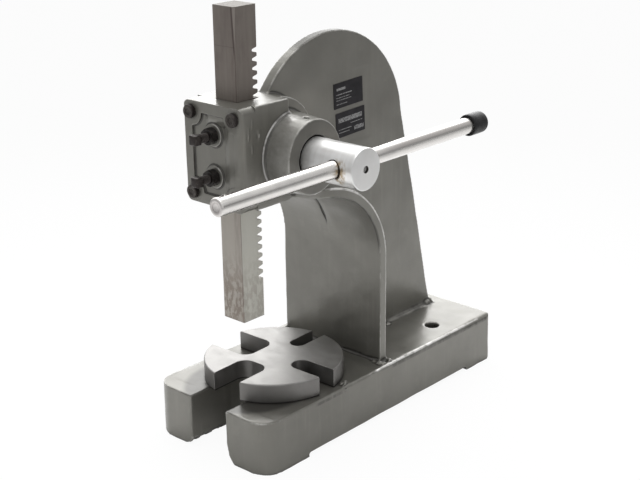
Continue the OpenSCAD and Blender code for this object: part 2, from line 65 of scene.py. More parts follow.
RAM_LOW, RAM_HIGH = cad_box("ram")
RAM_HALF = RAM_HIGH[0]
SHAFT_LOW, SHAFT_HIGH = cad_box("pinion_shaft")
ROD_LOW, ROD_HIGH = cad_box("handle_rod")
CAP_LOW, CAP_HIGH = cad_box("handle_cap")
COVER_LOW, COVER_HIGH = cad_box("cover_plate")
PLATE_LOW = cad_box("work_plate")[0]
WASHER_LOW, WASHER_HIGH = cad_box("retaining_washer")
HANDLE_X = (ROD_LOW[0] + ROD_HIGH[0]) / 2
SHAFT_Z = (ROD_LOW[2] + ROD_HIGH[2]) / 2
SHAFT_Y = (WASHER_LOW[1] + WASHER_HIGH[1]) / 2
BASE_TOP = PLATE_LOW[2]
HEAD_TOP, HEAD_BOTTOM = COVER_HIGH[2], COVER_LOW[2]
HEAD_HALF = COVER_HIGH[0]
JOINT_Y = COVER_HIGH[1]  # where the cover meets the casting

# Sizes of the casting that its box alone doesn't give
WEB_HALF = 5.0
WEB_REAR = 264.5
BASE_HIGH_X = 70.5
FLANGE_FRONT, FLANGE_BACK, FLANGE_HALF = 116.0, 125.0, 60.75
BEND_Y, BEND_Z, BEND_IN, BEND_OUT = 41.0, 153.5, 75.0, 84.0
SHOULDER_HALF, HEAD_BACK, COVER_CORNER_R = 22.0, 27.0, 6.0
BOSS_ROOT_R, BOSS_FACE_X, FAR_BOSS_R = 34.5, 61.0, 26.0
SHAFT_R, JOURNAL_END, HOLE_R = 18.0, 58.0, 7.6
STEM_R, GEAR_CORE_R = 14.0, 16.5  # the shaft beyond its pinion, and inside the pinion's teeth
MOUTH_R, MOUTH_X = 19.25, 58.5  # the opening in the boss's face, and where it widens inside
GEAR_MODULE, TEETH, TOOTH_SHIFT, PRESSURE = 2.45, 16, 0.1, math.radians(20)
JOURNAL_R = GEAR_MODULE * (TEETH / 2 + 1 + TOOTH_SHIFT) + 0.25
RACK_PLAIN, RACK_SPACES = 34.5, 27
RACK_SLOPE = math.tan(math.radians(14.5))
RACK_TRIM, PINION_TRIM = 0.3, 0.6  # stout rack teeth, slim pinion teeth
PANEL_DEPTH = 2.0
NUT_FLATS, NUT_BORE_R = 13.0, 4.02
COVER_HEAD_D, COVER_HEAD_H, COVER_SHANK_D = 12.0, 4.0, 8.0
KEEPER_HEAD_D, KEEPER_HEAD_H, KEEPER_SHANK_D = 10.0, 5.5, 6.0  # the screw on the shaft's far end
HANDLE_GROOVE = 9.0  # from the rod's bare end
FACET_TOP, FACET_LENGTH = 2.05, 37.0  # the ground corner of the ram's front right edge
BASE_SIDE, FLANGE_SIDE = (0.0672, 0.0686), (0.0585, 0.0595)  # X in metres where their right sides begin
LABEL_L, LABEL_H, LABEL_TILT = 40.0, 23.5, math.radians(2.5)

# Fineness of the two remeshed pieces
CASTING_VOXEL, CASTING_TRIANGLES = 1.1, 185000
COVER_VOXEL, COVER_TRIANGLES = 0.6, 80000


# ---------------------------------------------------------------- camera

CAMERA_TURN, CAMERA_RISE, CAMERA_ROLL = (math.radians(a) for a in (42.4758, 19.6455, -0.7485))
CAMERA_DISTANCE = 1.03045
CAMERA_TARGET = Vector((0.09224, 0, 0.21120))
FOCAL_PIXELS, IMAGE_PIXELS, SENSOR = 1257.16, 640, 36


def make_camera():
    data = bpy.data.cameras.new("camera")
    data.sensor_width = SENSOR
    data.lens = SENSOR * FOCAL_PIXELS / IMAGE_PIXELS
    camera = bpy.data.objects.new("camera", data)
    back = Vector((math.sin(CAMERA_TURN) * math.cos(CAMERA_RISE),
                   -math.cos(CAMERA_TURN) * math.cos(CAMERA_RISE), math.sin(CAMERA_RISE)))
    level = Vector((math.cos(CAMERA_TURN), math.sin(CAMERA_TURN), 0))
    upright = back.cross(level)
    cos, sin = math.cos(CAMERA_ROLL), math.sin(CAMERA_ROLL)
    right, up = cos * level + sin * upright, cos * upright - sin * level
    place = CAMERA_TARGET + back * CAMERA_DISTANCE
    camera.matrix_world = Matrix([(*row,) for row in zip(right, up, back, place)] + [(0, 0, 0, 1)])
    scene.collection.objects.link(camera)
    scene.camera = camera


# ---------------------------------------------------------------- material kit

ENAMEL_METAL, ENAMEL_DARK, ENAMEL_LIGHT = 0.5, (0.156, 0.151, 0.134), (0.187, 0.182, 0.162)


class Finish:
    """A Principled material and the nodes that feed it. Plain values go on the shader's sockets."""

    def __init__(self, name, **values):
        self.material = bpy.data.materials.new(name)
        self.material.use_nodes = True
        self.tree = self.material.node_tree
        self.shader = self.tree.nodes["Principled BSDF"]
        self.coords = self.tree.nodes.new("ShaderNodeTexCoord")
        self.colour = None  # what paint() adds to
        for key, value in values.items():
            self.shader.inputs[key.replace("_", " ").title().replace("Ior", "IOR")].default_value = value

    def add(self, kind, inputs=(), **settings):
        node = self.tree.nodes.new("ShaderNode" + kind)
        for key, value in settings.items():
            setattr(node, key, value)
        for key, value in dict(inputs).items():
            if isinstance(value, bpy.types.NodeSocket):
                self.tree.links.new(value, node.inputs[key])
            else:
                node.inputs[key].default_value = value
        return node

    def feed(self, socket, value):
        self.tree.links.new(value, self.shader.inputs[socket])

    def noise(self, scale, detail=2.0, rough=0.5, warp=0.0, shift=0.0):
        """Noise from 0 to 1. The scale is in cycles per metre: one number, or one per axis."""
        scale = (scale,) * 3 if isinstance(scale, (int, float)) else scale
        place = self.add("Mapping", {"Vector": self.coords.outputs["Object"], "Scale": scale,
                                     "Location": (shift, shift, shift)})
        made = self.add("TexNoise", {"Vector": place.outputs[0], "Scale": 1.0, "Detail": detail,
                                     "Roughness": rough, "Distortion": warp})
        return made.outputs["Fac"]

    def axis(self, name, source="Object"):
        split = self.add("SeparateXYZ", {0: self.coords.outputs[source]})
        return split.outputs[name]

    def math(self, operation, *values):
        return self.add("Math", dict(enumerate(values)), operation=operation).outputs[0]

    def span(self, value, low, high, to_low=0.0, to_high=1.0):
        """Runs smoothly from to_low to to_high as the value goes from low to high."""
        made = self.add("MapRange", {"Value": value, "From Min": low, "From Max": high,
                                     "To Min": to_low, "To Max": to_high},
                        interpolation_type="SMOOTHSTEP")
        return made.outputs[0]

    def blend(self, share, first, second):
        made = self.add("Mix", data_type="RGBA")
        for socket, value in zip((made.inputs[0], made.inputs[6], made.inputs[7]),
                                 (share, first, second)):
            if isinstance(value, bpy.types.NodeSocket):
                self.tree.links.new(value, socket)
            else:
                socket.default_value = value if isinstance(value, float) else (*value, 1.0)
        return made.outputs[2]

    def bump(self, height, depth_mm, normal=None, strength=1.0):
        inputs = {"Height": height, "Distance": depth_mm * MM, "Strength": strength}
        if normal is not None:
            inputs["Normal"] = normal
        return self.add("Bump", inputs).outputs[0]

    def near(self, centre, radius_mm):
        """1 within the radius of a point, fading to 0 at twice the radius."""
        away = self.add("VectorMath", {0: self.coords.outputs["Object"],
                                       1: tuple(c * MM for c in centre)}, operation="DISTANCE")
        return self.span(away.outputs["Value"], radius_mm * MM, 2 * radius_mm * MM, 1.0, 0.0)

    def band(self, value, low_mm, high_mm, soft_mm):
        """1 between two values and 0 outside them, with soft ends."""
        above = self.span(value, (low_mm - soft_mm) * MM, (low_mm + soft_mm) * MM)
        below = self.span(value, (high_mm - soft_mm) * MM, (high_mm + soft_mm) * MM, 1.0, 0.0)
        return self.all_of(above, below)

    def all_of(self, *shares):
        """The product of some shares: 1 only where all of them are 1."""
        return reduce(lambda a, b: self.math("MULTIPLY", a, b), shares)

    def any_of(self, *shares):
        """The largest of some shares."""
        return reduce(lambda a, b: self.math("MAXIMUM", a, b), shares)

    def undercoat(self, share, first, second):
        self.colour = self.blend(share, first, second)
        self.feed("Base Color", self.colour)

    def paint(self, tint, *shares):
        """Lays a colour over what is there, as far as the product of the shares says."""
        self.undercoat(self.all_of(*shares), self.colour, tint)

    def turn(self):
        """How sharply the surface turns, in 1/mm, as mark_turn stores it."""
        return self.add("Attribute", attribute_name="turn").outputs["Fac"]

    def shelter(self, reach_mm):
        """0 in the open, rising to 1 deep in a corner."""
        made = self.add("AmbientOcclusion", {"Distance": reach_mm * MM}, samples=6)
        return self.span(made.outputs["AO"], 0.25, 0.85, 1.0, 0.0)

    def share_along(self, centre, way, length_mm):
        """Where a point lies along a direction, from 0 to 1 over a length with this centre."""
        away = self.add("VectorMath", {0: self.coords.outputs["Object"], 1: tuple(c * MM for c in centre)},
                        operation="SUBTRACT")
        along = self.add("VectorMath", {0: away.outputs[0], 1: way}, operation="DOT_PRODUCT")
        return self.math("ADD", self.math("DIVIDE", along.outputs["Value"], length_mm * MM), 0.5)

    def diagonal(self, a, b):
        squares = self.math("ADD", self.math("MULTIPLY", a, a), self.math("MULTIPLY", b, b))
        return self.math("POWER", squares, 0.5)

    def from_axis(self, first, second, names="YZ"):
        """Distance from a line along the third axis, in metres."""
        a, b = (self.math("SUBTRACT", self.axis(n), c * MM) for n, c in zip(names, (first, second)))
        return self.diagonal(a, b)

    def window(self, value, low, high):
        above = self.math("GREATER_THAN", value, low)
        return self.all_of(above, self.math("LESS_THAN", value, high))


def enamel(name, casting=False):
    """Silver-grey metallic paint: pale on its edges from wear and painted highlight, painted shade in its
    corners, and a fine orange peel.
    """
    m = Finish(name, metallic=ENAMEL_METAL, coat_weight=0.25, coat_roughness=0.22)
    broad = m.noise(17, 3, 0.55)
    cloud = m.noise(70, 3, 0.55, shift=3.1)
    wall = m.span(m.math("ABSOLUTE", m.axis("Z", "Normal")), 0.3, 0.7, 1.0, 0.0)
    run = m.noise((170, 170, 11), 3, 0.55)
    runs = m.all_of(m.span(run, 0.5, 0.75), wall, m.span(m.noise(9, 1, shift=8.0), 0.4, 0.6))
    m.undercoat(m.span(broad, 0.3, 0.7), ENAMEL_DARK, ENAMEL_LIGHT)
    m.paint(tuple(1.3 * c for c in ENAMEL_LIGHT), m.span(cloud, 0.55, 0.8), 0.25)
    m.paint(tuple(1.35 * c for c in ENAMEL_LIGHT), runs, 0.22)
    speck = m.span(m.noise(900, 1), 0.66, 0.8)
    m.paint((0.26, 0.255, 0.24), speck, 0.2)
    turn = m.turn()
    patchy = m.span(m.noise(75, 3, 0.6, shift=5.2), 0.38, 0.62, 0.15, 1.0)
    # pale paint on convex edges: partly wear, partly painted highlight
    wear_and_highlight = m.all_of(m.span(turn, 0.10, 0.32), patchy)
    if casting:
        strength = m.span(flange_reach(m), (BEND_IN + 1) * MM, (BEND_IN + 3) * MM, 0.30, 0.55)
    else:  # painted highlight with wear on the pads' upper right rims, none on the recess's own edge
        strength = m.math("ADD", m.span(m.axis("Z"), (HEAD_TOP - 5) * MM, (HEAD_TOP - 3) * MM, 0.0, 0.3),
                          m.all_of(m.span(m.axis("X"), -0.002, 0.004, 0.04, 0.5),
                                   m.span(m.axis("X"), 0.012, 0.016, 1.0, 0.05)))
    m.paint((0.55, 0.54, 0.52), wear_and_highlight, strength)
    # painted shade in concave corners and hollows; on the cover it is weaker right of 16 mm
    deep = m.any_of(m.span(turn, -0.12, -0.02, 1.0, 0.0), m.shelter(5))
    if not casting:
        deep = m.all_of(deep, m.span(m.axis("X"), 0.012, 0.016, 1.0, 0.2))
    m.paint((0.026, 0.024, 0.021), deep, 0.78)
    rough = m.span(cloud, 0.25, 0.75, 0.29, 0.40)
    normal = m.bump(m.noise(32, 2), 0.4)
    normal = m.bump(m.noise(360, 2, 0.5), 0.04, normal)
    if casting:
        boss = m.all_of(m.span(m.axis("X"), 0.0355, 0.038), m.span(m.axis("Z"), 0.215, 0.222),
                        m.span(m.axis("X", "Normal"), 0.7, 0.9, 1.0, 0.0))
        mottle = m.span(m.noise(210, 3, 0.6), 0.3, 0.7, 0.45, 0.75)
        bright = m.near((43, SHAFT_Y - 8, SHAFT_Z + 36), 4.5)
        # the boss's cone painted lighter in mottled patches, and a painted highlight on its top by the oil
        # hole
        m.paint((0.275, 0.27, 0.252), boss, mottle)
        m.paint((0.62, 0.61, 0.59), bright, boss, mottle, 0.7)
        # painted shade on the boss's face, inside its rim
        face = m.all_of(m.span(m.axis("X"), 0.0597, 0.0603),
                        m.span(m.from_axis(SHAFT_Y, SHAFT_Z), 0.031, 0.032, 0.45, 0.0))
        m.paint((0.085, 0.082, 0.074), face)
        # shade on the base's top, round the ram's axis
        under = m.all_of(m.span(m.from_axis(0, 0, "XY"), 0.053, 0.061, 0.75, 0.0),
                         m.band(m.axis("Z"), BASE_TOP - 0.6, BASE_TOP + 0.6, 0.2))
        m.paint((0.035, 0.033, 0.029), under)
        # painted highlights along worn edges
        m.paint((0.74, 0.73, 0.71), bright_lines(m))
        # painted shade along the flange's inner edge
        m.paint((0.05, 0.048, 0.043), flange_inner_line(m))
        # painted shade along the casting's top crest, which is also made rougher
        crest = m.all_of(m.span(m.axis("Z"), 0.343, 0.352),
                         m.span(m.math("ABSOLUTE", m.axis("X", "Normal")), 0.6, 0.9, 1.0, 0.0))
        m.paint((0.05, 0.048, 0.043), crest, 0.65)
        rough = m.math("ADD", rough, m.math("MULTIPLY", crest, 0.3))
        normal = m.bump(m.all_of(m.noise(230, 3, 0.6), boss), 0.25, normal)
        # painted shade in the throat's crease
        m.paint((0.02, 0.019, 0.017), crease_line(m))
        m.paint((0.045, 0.043, 0.039), lip_shade(m))
    m.feed("Roughness", rough)
    m.feed("Normal", normal)
    return m.material


def flange_reach(m):
    """Distance from the line that the flange bends round: its own path lies at a constant distance."""
    above = m.math("MAXIMUM", m.math("SUBTRACT", m.axis("Z"), BEND_Z * MM), 0.0)
    back = m.math("SUBTRACT", m.axis("Y"), BEND_Y * MM)
    return m.diagonal(back, above)


def bright_lines(m):
    """Painted highlights with wear, round the boss's root, on the flange's rear rim and on the base's right
    edge.
    """
    x, y, z = m.axis("X"), m.axis("Y"), m.axis("Z")
    patchy = m.span(m.noise(130, 3, 0.6, shift=7.0), 0.3, 0.6, 0.35, 1.0)
    root = m.all_of(m.band(m.from_axis(SHAFT_Y, SHAFT_Z), BOSS_ROOT_R + 0.9, BOSS_ROOT_R + 2.3, 0.35),
                    m.band(x, HEAD_HALF - 0.8, HEAD_HALF + 1.2, 0.4), m.span(z, 0.262, 0.292, 0.35, 0.75))
    rim = m.all_of(m.band(flange_reach(m), BEND_OUT - 1.9, BEND_OUT + 0.4, 0.4), m.span(x, *FLANGE_SIDE),
                   m.span(z, 0.150, 0.185, 0.25, 0.85), m.span(z, 0.052, 0.056))
    edge = m.all_of(m.band(y, 100, 262, 2.0), m.span(x, *BASE_SIDE), m.span(z, 0.0480, 0.0490), 0.9)
    return m.all_of(m.any_of(root, rim, edge), patchy)


def flange_inner_line(m):
    """Painted shade: the dark line along the inner edge of the flange's right side."""
    return m.all_of(m.band(flange_reach(m), BEND_IN - 0.4, BEND_IN + 1.2, 0.4),
                    m.span(m.axis("X"), *FLANGE_SIDE), m.span(m.axis("Z"), 0.155, 0.175), 0.6)


def crease_line(m):
    """Painted shade: a dark line across the front of the throat's bend, which fades out towards its foot."""
    up = m.axis("Z")
    middle = m.span(m.math("ABSOLUTE", m.math("SUBTRACT", up, 0.189)), 0.0, 0.013, -0.0031, -0.0022)
    wobble = m.span(m.noise(90, 1), 0.2, 0.8, -0.0005, 0.0005)
    aside = m.math("ABSOLUTE", m.math("SUBTRACT", m.math("SUBTRACT", m.axis("X"), middle), wobble))
    thin = m.span(aside, 0.0003, 0.0010, 1.0, 0.0)
    along = m.all_of(m.span(up, 0.172, 0.182), m.span(up, 0.2025, 0.2050, 1.0, 0.0))
    # the front of the bend lies at 0.1895 m along this slanted direction, its back at 0.1998 m
    slant = m.math("ADD", m.math("MULTIPLY", m.axis("Y"), 0.85), m.math("MULTIPLY", up, 0.53))
    return m.all_of(thin, along, m.span(slant, 0.192, 0.195, 1.0, 0.0), 0.85)


def lip_shade(m):
    """The dark band under the rolled top edge of the base's right side."""
    y = m.axis("Y")
    drop = m.span(y, 0.12, 0.27, 0.0, 0.0008)
    level = m.math("ADD", m.axis("Z"), drop)
    ragged = m.span(m.noise((200, 200, 60), 3, 0.6, shift=2.0), 0.3, 0.6, 0.3, 1.0)
    lengths = m.any_of(m.band(y, 16, 51, 1.5), m.band(y, 122, 275, 1.0))
    return m.all_of(m.band(level, BASE_TOP - 5.0, BASE_TOP - 2.0, 0.6), m.span(m.axis("X"), *BASE_SIDE),
                    lengths, ragged, 0.60)


def black_oxide(name, brown=0.0, face=False):
    """Blackened screws and nuts, worn on their high spots. A screw's front face may be lighter, in patches.
    """
    m = Finish(name, metallic=0.55, specular_ior_level=0.4)
    worn = m.span(m.noise(420, 3, 0.6), 0.5, 0.75)
    dark = (0.022 + brown, 0.019 + brown * 0.7, 0.018 + brown * 0.6)
    m.undercoat(worn, dark, (0.062, 0.054, 0.050))
    if face:
        # the front face is made lighter in patches
        front = m.span(m.axis("Y", "Normal"), -0.95, -0.8, 1.0, 0.0)
        face_patches = m.span(m.noise(500, 3, 0.6, shift=4.0), 0.3, 0.6, 0.2, 0.8)
        m.paint((0.078, 0.070, 0.062), front, face_patches)
    m.feed("Roughness", m.span(m.noise(300, 2), 0.3, 0.7, 0.32, 0.5))
    m.feed("Normal", m.bump(m.noise(900, 2), 0.03))
    return m.material


def rubber():
    m = Finish("cap_rubber", specular_ior_level=0.35)
    dust = m.span(m.noise(160, 3), 0.45, 0.8)
    m.undercoat(dust, (0.006, 0.006, 0.007), (0.016, 0.016, 0.017))
    m.feed("Roughness", m.span(m.noise(90, 2), 0.3, 0.7, 0.38, 0.5))
    m.feed("Normal", m.bump(m.noise(1300, 2), 0.02))
    return m.material


def satin_steel(name, light, dark, roughness, streaks, grain=0.02, metallic=1.0):
    """Machined steel. The streaks are the noise's scale on each axis, long on the axis of least scale."""
    m = Finish(name, metallic=metallic)
    line = m.noise(streaks, 3, 0.6)
    cloud = m.noise(38, 3, 0.5, shift=1.7)
    m.undercoat(m.span(line, 0.35, 0.65), dark, light)
    m.paint(tuple(0.8 * c for c in dark), m.span(cloud, 0.45, 0.75), 0.4)
    m.feed("Roughness", m.span(line, 0.3, 0.7, roughness - 0.06, roughness + 0.06))
    m.feed("Normal", m.bump(line, grain))
    return m


def ram_steel():
    """Bare brown-grey bar: faint streaks, a brown stripe by its front corner and a stained, lighter foot."""
    m = Finish("ram_steel")
    line = m.noise((420, 420, 12), 4, 0.6)
    blotch = m.noise((70, 70, 28), 4, 0.6, shift=2.3)
    up, x, y = m.axis("Z"), m.axis("X"), m.axis("Y")
    m.undercoat(m.span(line, 0.25, 0.75), (0.176, 0.153, 0.136), (0.212, 0.188, 0.168))
    m.paint((0.120, 0.098, 0.090), m.span(blotch, 0.45, 0.75), 0.45)
    low = m.span(up, 0.215, 0.240, 1.0, 0.0)
    m.paint((0.370, 0.345, 0.310), low, 0.85)
    side = m.all_of(low, m.span(x, 0.0122, 0.0124))
    m.paint((0.470, 0.465, 0.420), side, 0.8)
    front = m.span(y, -0.0124, -0.0122, 1.0, 0.0)
    # brown stripe beside the corner: close to the facet above, wider below
    left = m.span(up, 0.19, 0.34, 0.0040, 0.0075)
    stripe = m.all_of(front, m.span(m.math("SUBTRACT", x, left), -0.0008, 0.0012),
                      m.span(up, 0.16, 0.27, 0.45, 1.0),
                      m.span(m.noise((260, 260, 40), 4, 0.65, shift=6.0), 0.3, 0.6, 0.15, 1.0))
    m.paint((0.115, 0.088, 0.077), stripe, 0.42)
    corners = m.any_of(m.all_of(front, m.band(x, 12.05, 12.6, 0.15), m.span(up, 0.35, 0.36, 1.0, 0.0)),
                       m.band(up, RAM_LOW[2] - 1, RAM_LOW[2] + 0.5, 0.2))
    m.paint((0.055, 0.042, 0.036), corners, 0.55)
    # dark line where the ground facet starts
    corner = m.math("SUBTRACT", x, y)
    below = m.math("SUBTRACT", RAM_HIGH[2] * MM, up)
    edge = m.math("SUBTRACT", corner, m.math("MULTIPLY", below, FACET_TOP / FACET_LENGTH))
    line_in = m.all_of(front, m.band(edge, 21.0, 22.6, 0.4), m.span(up, 0.350, 0.362))
    m.paint((0.060, 0.044, 0.042), line_in, 0.75)
    facet = m.all_of(m.span(m.axis("X", "Normal"), 0.45, 0.6),
                     m.span(m.axis("Y", "Normal"), -0.6, -0.45, 1.0, 0.0))
    m.paint((0.270, 0.243, 0.222), facet, 0.65)
    step = m.all_of(front, m.band(m.math("ADD", up, m.span(m.noise(60, 1), 0.2, 0.8, -0.0004, 0.0004)),
                                  361.6, 362.0, 0.25))
    m.paint((0.07, 0.055, 0.05), step, 0.5)
    foot = m.span(up, 0.140, 0.190, 1.0, 0.0)
    blot = m.all_of(m.span(m.noise((300, 300, 150), 4, 0.65), 0.42, 0.56), foot)
    m.paint((0.155, 0.118, 0.094), blot, m.math("ADD", m.math("MULTIPLY", front, 0.35), 0.3))
    end = m.span(up, (RAM_HIGH[2] - 0.55) * MM, (RAM_HIGH[2] - 0.15) * MM)
    m.paint((0.225, 0.208, 0.192), end)
    m.feed("Metallic", m.math("ADD", m.math("MULTIPLY", end, -0.5), 0.6))
    m.feed("Roughness", m.math("ADD", m.span(line, 0.3, 0.7, 0.40, 0.5), m.math("MULTIPLY", end, 0.2)))
    m.feed("Normal", m.bump(line, 0.015, m.bump(blotch, 0.15)))
    return m.material


def shaft_steel():
    """Turned bar with painted shade in the gap behind it and in its end's centre hole, a painted shadow by
    the cross hole, and an oily stain by the cross hole.
    """
    m = satin_steel("shaft_steel", (0.77, 0.77, 0.765), (0.73, 0.725, 0.715), 0.27, (500, 25, 25), 0.0004)
    # painted shade where the shaft enters the boss
    gap = m.span(m.axis("X"), (BOSS_FACE_X - 1.2) * MM, (BOSS_FACE_X - 0.2) * MM, 1.0, 0.0)
    m.paint((0.05, 0.048, 0.045), gap)
    up = m.axis("Z")
    rim = m.from_axis(HANDLE_X, SHAFT_Z, "XZ")
    beside = m.all_of(m.span(m.axis("X"), HANDLE_X * MM, (HANDLE_X + 4) * MM),
                      m.span(m.axis("Y"), 0.018, 0.022, 1.0, 0.0))
    stain = m.all_of(m.span(rim, (HOLE_R + 4) * MM, (HOLE_R + 8.5) * MM, 1.0, 0.0), beside,
                     m.span(m.noise((230, 230, 130), 3, 0.6), 0.32, 0.56), m.span(up, 0.2795, 0.2745))
    m.paint((0.30, 0.205, 0.085), stain, 0.8)
    # painted shadow: a dark crescent round the cross hole
    hole_shadow = m.all_of(m.span(rim, (HOLE_R + 0.9) * MM, (HOLE_R + 1.9) * MM, 1.0, 0.0), beside,
                        m.span(up, 0.2745, 0.2700))
    m.paint((0.045, 0.032, 0.018), hole_shadow, 0.9)
    # painted shade in the centre hole of the shaft's end
    centre = m.add("VectorMath", {0: m.coords.outputs["Object"],
                                  1: (SHAFT_HIGH[0] * MM, SHAFT_Y * MM, SHAFT_Z * MM)}, operation="DISTANCE")
    bore = m.span(centre.outputs["Value"], 0.0029, 0.0034, 1.0, 0.0)
    m.paint((0.03, 0.027, 0.024), bore)
    m.feed("Roughness", m.span(m.axis("X"), 0.064, 0.090, 0.44, 0.33))
    return m.material


def label_film(name, box_low, box_high, bars):
    """Dark foil with a few plain light bars. Each bar is (front, rear, low, high) as shares of the label."""
    m = Finish(name, specular_ior_level=0.2)
    centre, cos, sin = (box_low + box_high) / 2, math.cos(LABEL_TILT), math.sin(LABEL_TILT)
    along = m.share_along(centre, (0, cos, sin), LABEL_L)
    up = m.share_along(centre, (0, -sin, cos), LABEL_H)
    printed = m.any_of(*(m.all_of(m.window(along, front, rear), m.window(up, low, high))
                         for front, rear, low, high in bars))
    worn = m.span(m.noise(700, 2), 0.25, 0.6)
    m.undercoat(m.span(m.noise(120, 2), 0.3, 0.7), (0.010, 0.009, 0.011), (0.019, 0.017, 0.020))
    m.paint((0.42, 0.42, 0.42), printed, worn, 0.62)
    m.feed("Roughness", m.span(m.noise(60, 2), 0.3, 0.7, 0.34, 0.46))
    m.feed("Normal", m.bump(m.noise(300, 2), 0.02))
    return m.material


# ---------------------------------------------------------------- mesh kit

def mesh_object(name, points, faces):
    mesh = bpy.data.meshes.new(name)
    mesh.from_pydata((np.asarray(points, float) * MM).tolist(), [], faces)
    mesh.validate()
    obj = bpy.data.objects.new(name, mesh)
    scene.collection.objects.link(obj)
    return obj


@contextmanager
def editing(obj):
    """Lends an object's mesh as a bmesh and writes it back."""
    bm = bmesh.new()
    bm.from_mesh(obj.data)
    yield bm
    bm.to_mesh(obj.data)
    bm.free()


def cad_copy(node, name):
    """A welded copy of a CAD node's mesh, without its split normals."""
    mesh = bpy.data.meshes.new(name)
    bm = bmesh.new()
    bm.from_mesh(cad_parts[node].data)
    bmesh.ops.remove_doubles(bm, verts=bm.verts, dist=1e-6)
    bm.to_mesh(mesh)
    bm.free()
    for layer in list(mesh.attributes):
        if layer.name == "custom_normal":
            mesh.attributes.remove(layer)
    obj = bpy.data.objects.new(name, mesh)
    scene.collection.objects.link(obj)
    return obj


def join(obj, others):
    """Adds the other objects' meshes to obj and removes them."""
    with editing(obj) as bm:
        for part in others:
            bm.from_mesh(part.data)
    for part in others:
        bpy.data.objects.remove(part)


def modify(obj, kind, **settings):
    modifier = obj.modifiers.new(kind.lower(), kind)
    for key, value in settings.items():
        setattr(modifier, key, value)
    return modifier


def apply_modifiers(obj):
    bpy.context.view_layer.update()
    made = bpy.data.meshes.new_from_object(obj.evaluated_get(bpy.context.evaluated_depsgraph_get()))
    obj.modifiers.clear()
    obj.data = made


def shade(obj, sharp_degrees=180):
    obj.data.shade_smooth()
    if sharp_degrees < 180:
        obj.data.set_sharp_from_angle(angle=math.radians(sharp_degrees))


def finish_piece(obj, material, body, slot, *nodes):
    obj.data.materials.clear()
    obj.data.materials.append(material)
    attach(obj, body)
    if nodes:
        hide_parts(*nodes)
    return obj


ANGLES = np.arange(SEGMENTS) * 2 * math.pi / SEGMENTS


def polygon_radius(sides, across_flats, corner_r=None):
    """Radius, at each angle, of a regular polygon, with its corners cut at corner_r."""
    step = 2 * math.pi / sides
    radius = across_flats / 2 / np.cos(ANGLES % step - step / 2)
    return radius if corner_r is None else np.minimum(radius, corner_r)


def loft(name, rings, origin, axis, turn=0.0, tube=False):
    """A solid through rings of (height, radius) along an axis. A radius is one number or one per angle."""
    cos, sin = np.cos(ANGLES + turn), np.sin(ANGLES + turn)
    points = [np.column_stack([r * cos, r * sin, np.full(SEGMENTS, float(h))])
              for h, r in ((h, np.broadcast_to(r, SEGMENTS)) for h, r in rings)]
    points = np.concatenate(points)
    spin = np.array(Vector(axis).to_track_quat("Z", "Y").to_matrix())
    points = points @ spin.T + np.array(origin, float)
    count, faces = len(rings), []
    for i in range(count if tube else count - 1):
        low, high = i * SEGMENTS, (i + 1) % count * SEGMENTS
        for k in range(SEGMENTS):
            n = (k + 1) % SEGMENTS
            faces.append((low + k, low + n, high + n, high + k))
    if not tube:
        faces.append(tuple(reversed(range(SEGMENTS))))
        faces.append(tuple(range((count - 1) * SEGMENTS, count * SEGMENTS)))
    return mesh_object(name, points, faces)


def prism(name, sections):
    """A closed solid through sections with the same number of points."""
    size = len(sections[0])
    faces = [tuple(reversed(range(size)))]
    for i in range(len(sections) - 1):
        for k in range(size):
            n = (k + 1) % size
            faces.append((i * size + k, i * size + n, (i + 1) * size + n, (i + 1) * size + k))
    faces.append(tuple(range((len(sections) - 1) * size, len(sections) * size)))
    obj = mesh_object(name, np.concatenate(sections), faces)
    with editing(obj) as bm:
        bmesh.ops.recalc_face_normals(bm, faces=bm.faces)
    return obj


def fillet(corners):
    """Metal in an inner corner. Each entry is (point, first side's direction, second side's, radius)."""
    sections = []
    for point, first, second, radius in corners:
        p, a, b = (np.array(v, float) for v in (point, first, second))
        arc = [p + radius * ((1 - math.sin(t)) * a + (1 - math.cos(t)) * b)
               for t in np.linspace(0, math.pi / 2, 6)]
        sections.append([p - a - b, p + radius * a - b, *arc, p + radius * b - a])
    return prism("fillet", sections)


def lump(centre, sizes):
    rings = [(-math.cos(t), math.sin(t)) for t in np.linspace(0.15, math.pi - 0.15, 9)]
    obj = loft("lump", rings, (0, 0, 0), (0, 0, 1))
    set_points(obj, get_points(obj) * sizes + centre)
    return obj


def value_noise(points, cell, seed):
    """Smooth noise between -1 and 1, with a new value every cell millimetres."""
    size = 32
    table = np.random.default_rng(seed).uniform(-1, 1, (size,) * 3)
    place = points / cell
    base = np.floor(place).astype(int)
    part = place - base
    part = part * part * (3 - 2 * part)
    total = np.zeros(len(points))
    for corner in product((0, 1), repeat=3):
        weight = np.prod(np.where(corner, part, 1 - part), axis=1)
        x, y, z = ((base + corner) % size).T
        total += weight * table[x, y, z]
    return total


def ease(value, low, high):
    """0 below low, 1 above high and smooth between."""
    t = np.clip((value - low) / (high - low), 0, 1)
    return t * t * (3 - 2 * t)


def outside(points, low, high, fade):
    """0 inside a box, rising to 1 at the fade distance from it."""
    gap = np.maximum(np.maximum(np.array(low) - points, points - np.array(high)), 0)
    return ease(np.linalg.norm(gap, axis=1), 0, fade)


def read(items, name, width=3, kind=np.float32):
    flat = np.empty(len(items) * width, kind)
    items.foreach_get(name, flat)
    return flat.reshape(-1, width)


def get_points(obj):
    return read(obj.data.vertices, "co").astype(float) / MM


def set_points(obj, points):
    obj.data.vertices.foreach_set("co", (points * MM).astype(np.float32).ravel())
    obj.data.update()


def get_normals(obj):
    return read(obj.data.vertex_normals, "vector").astype(float)


def edge_ends(obj):
    return read(obj.data.edges, "vertices", 2, np.int32).T


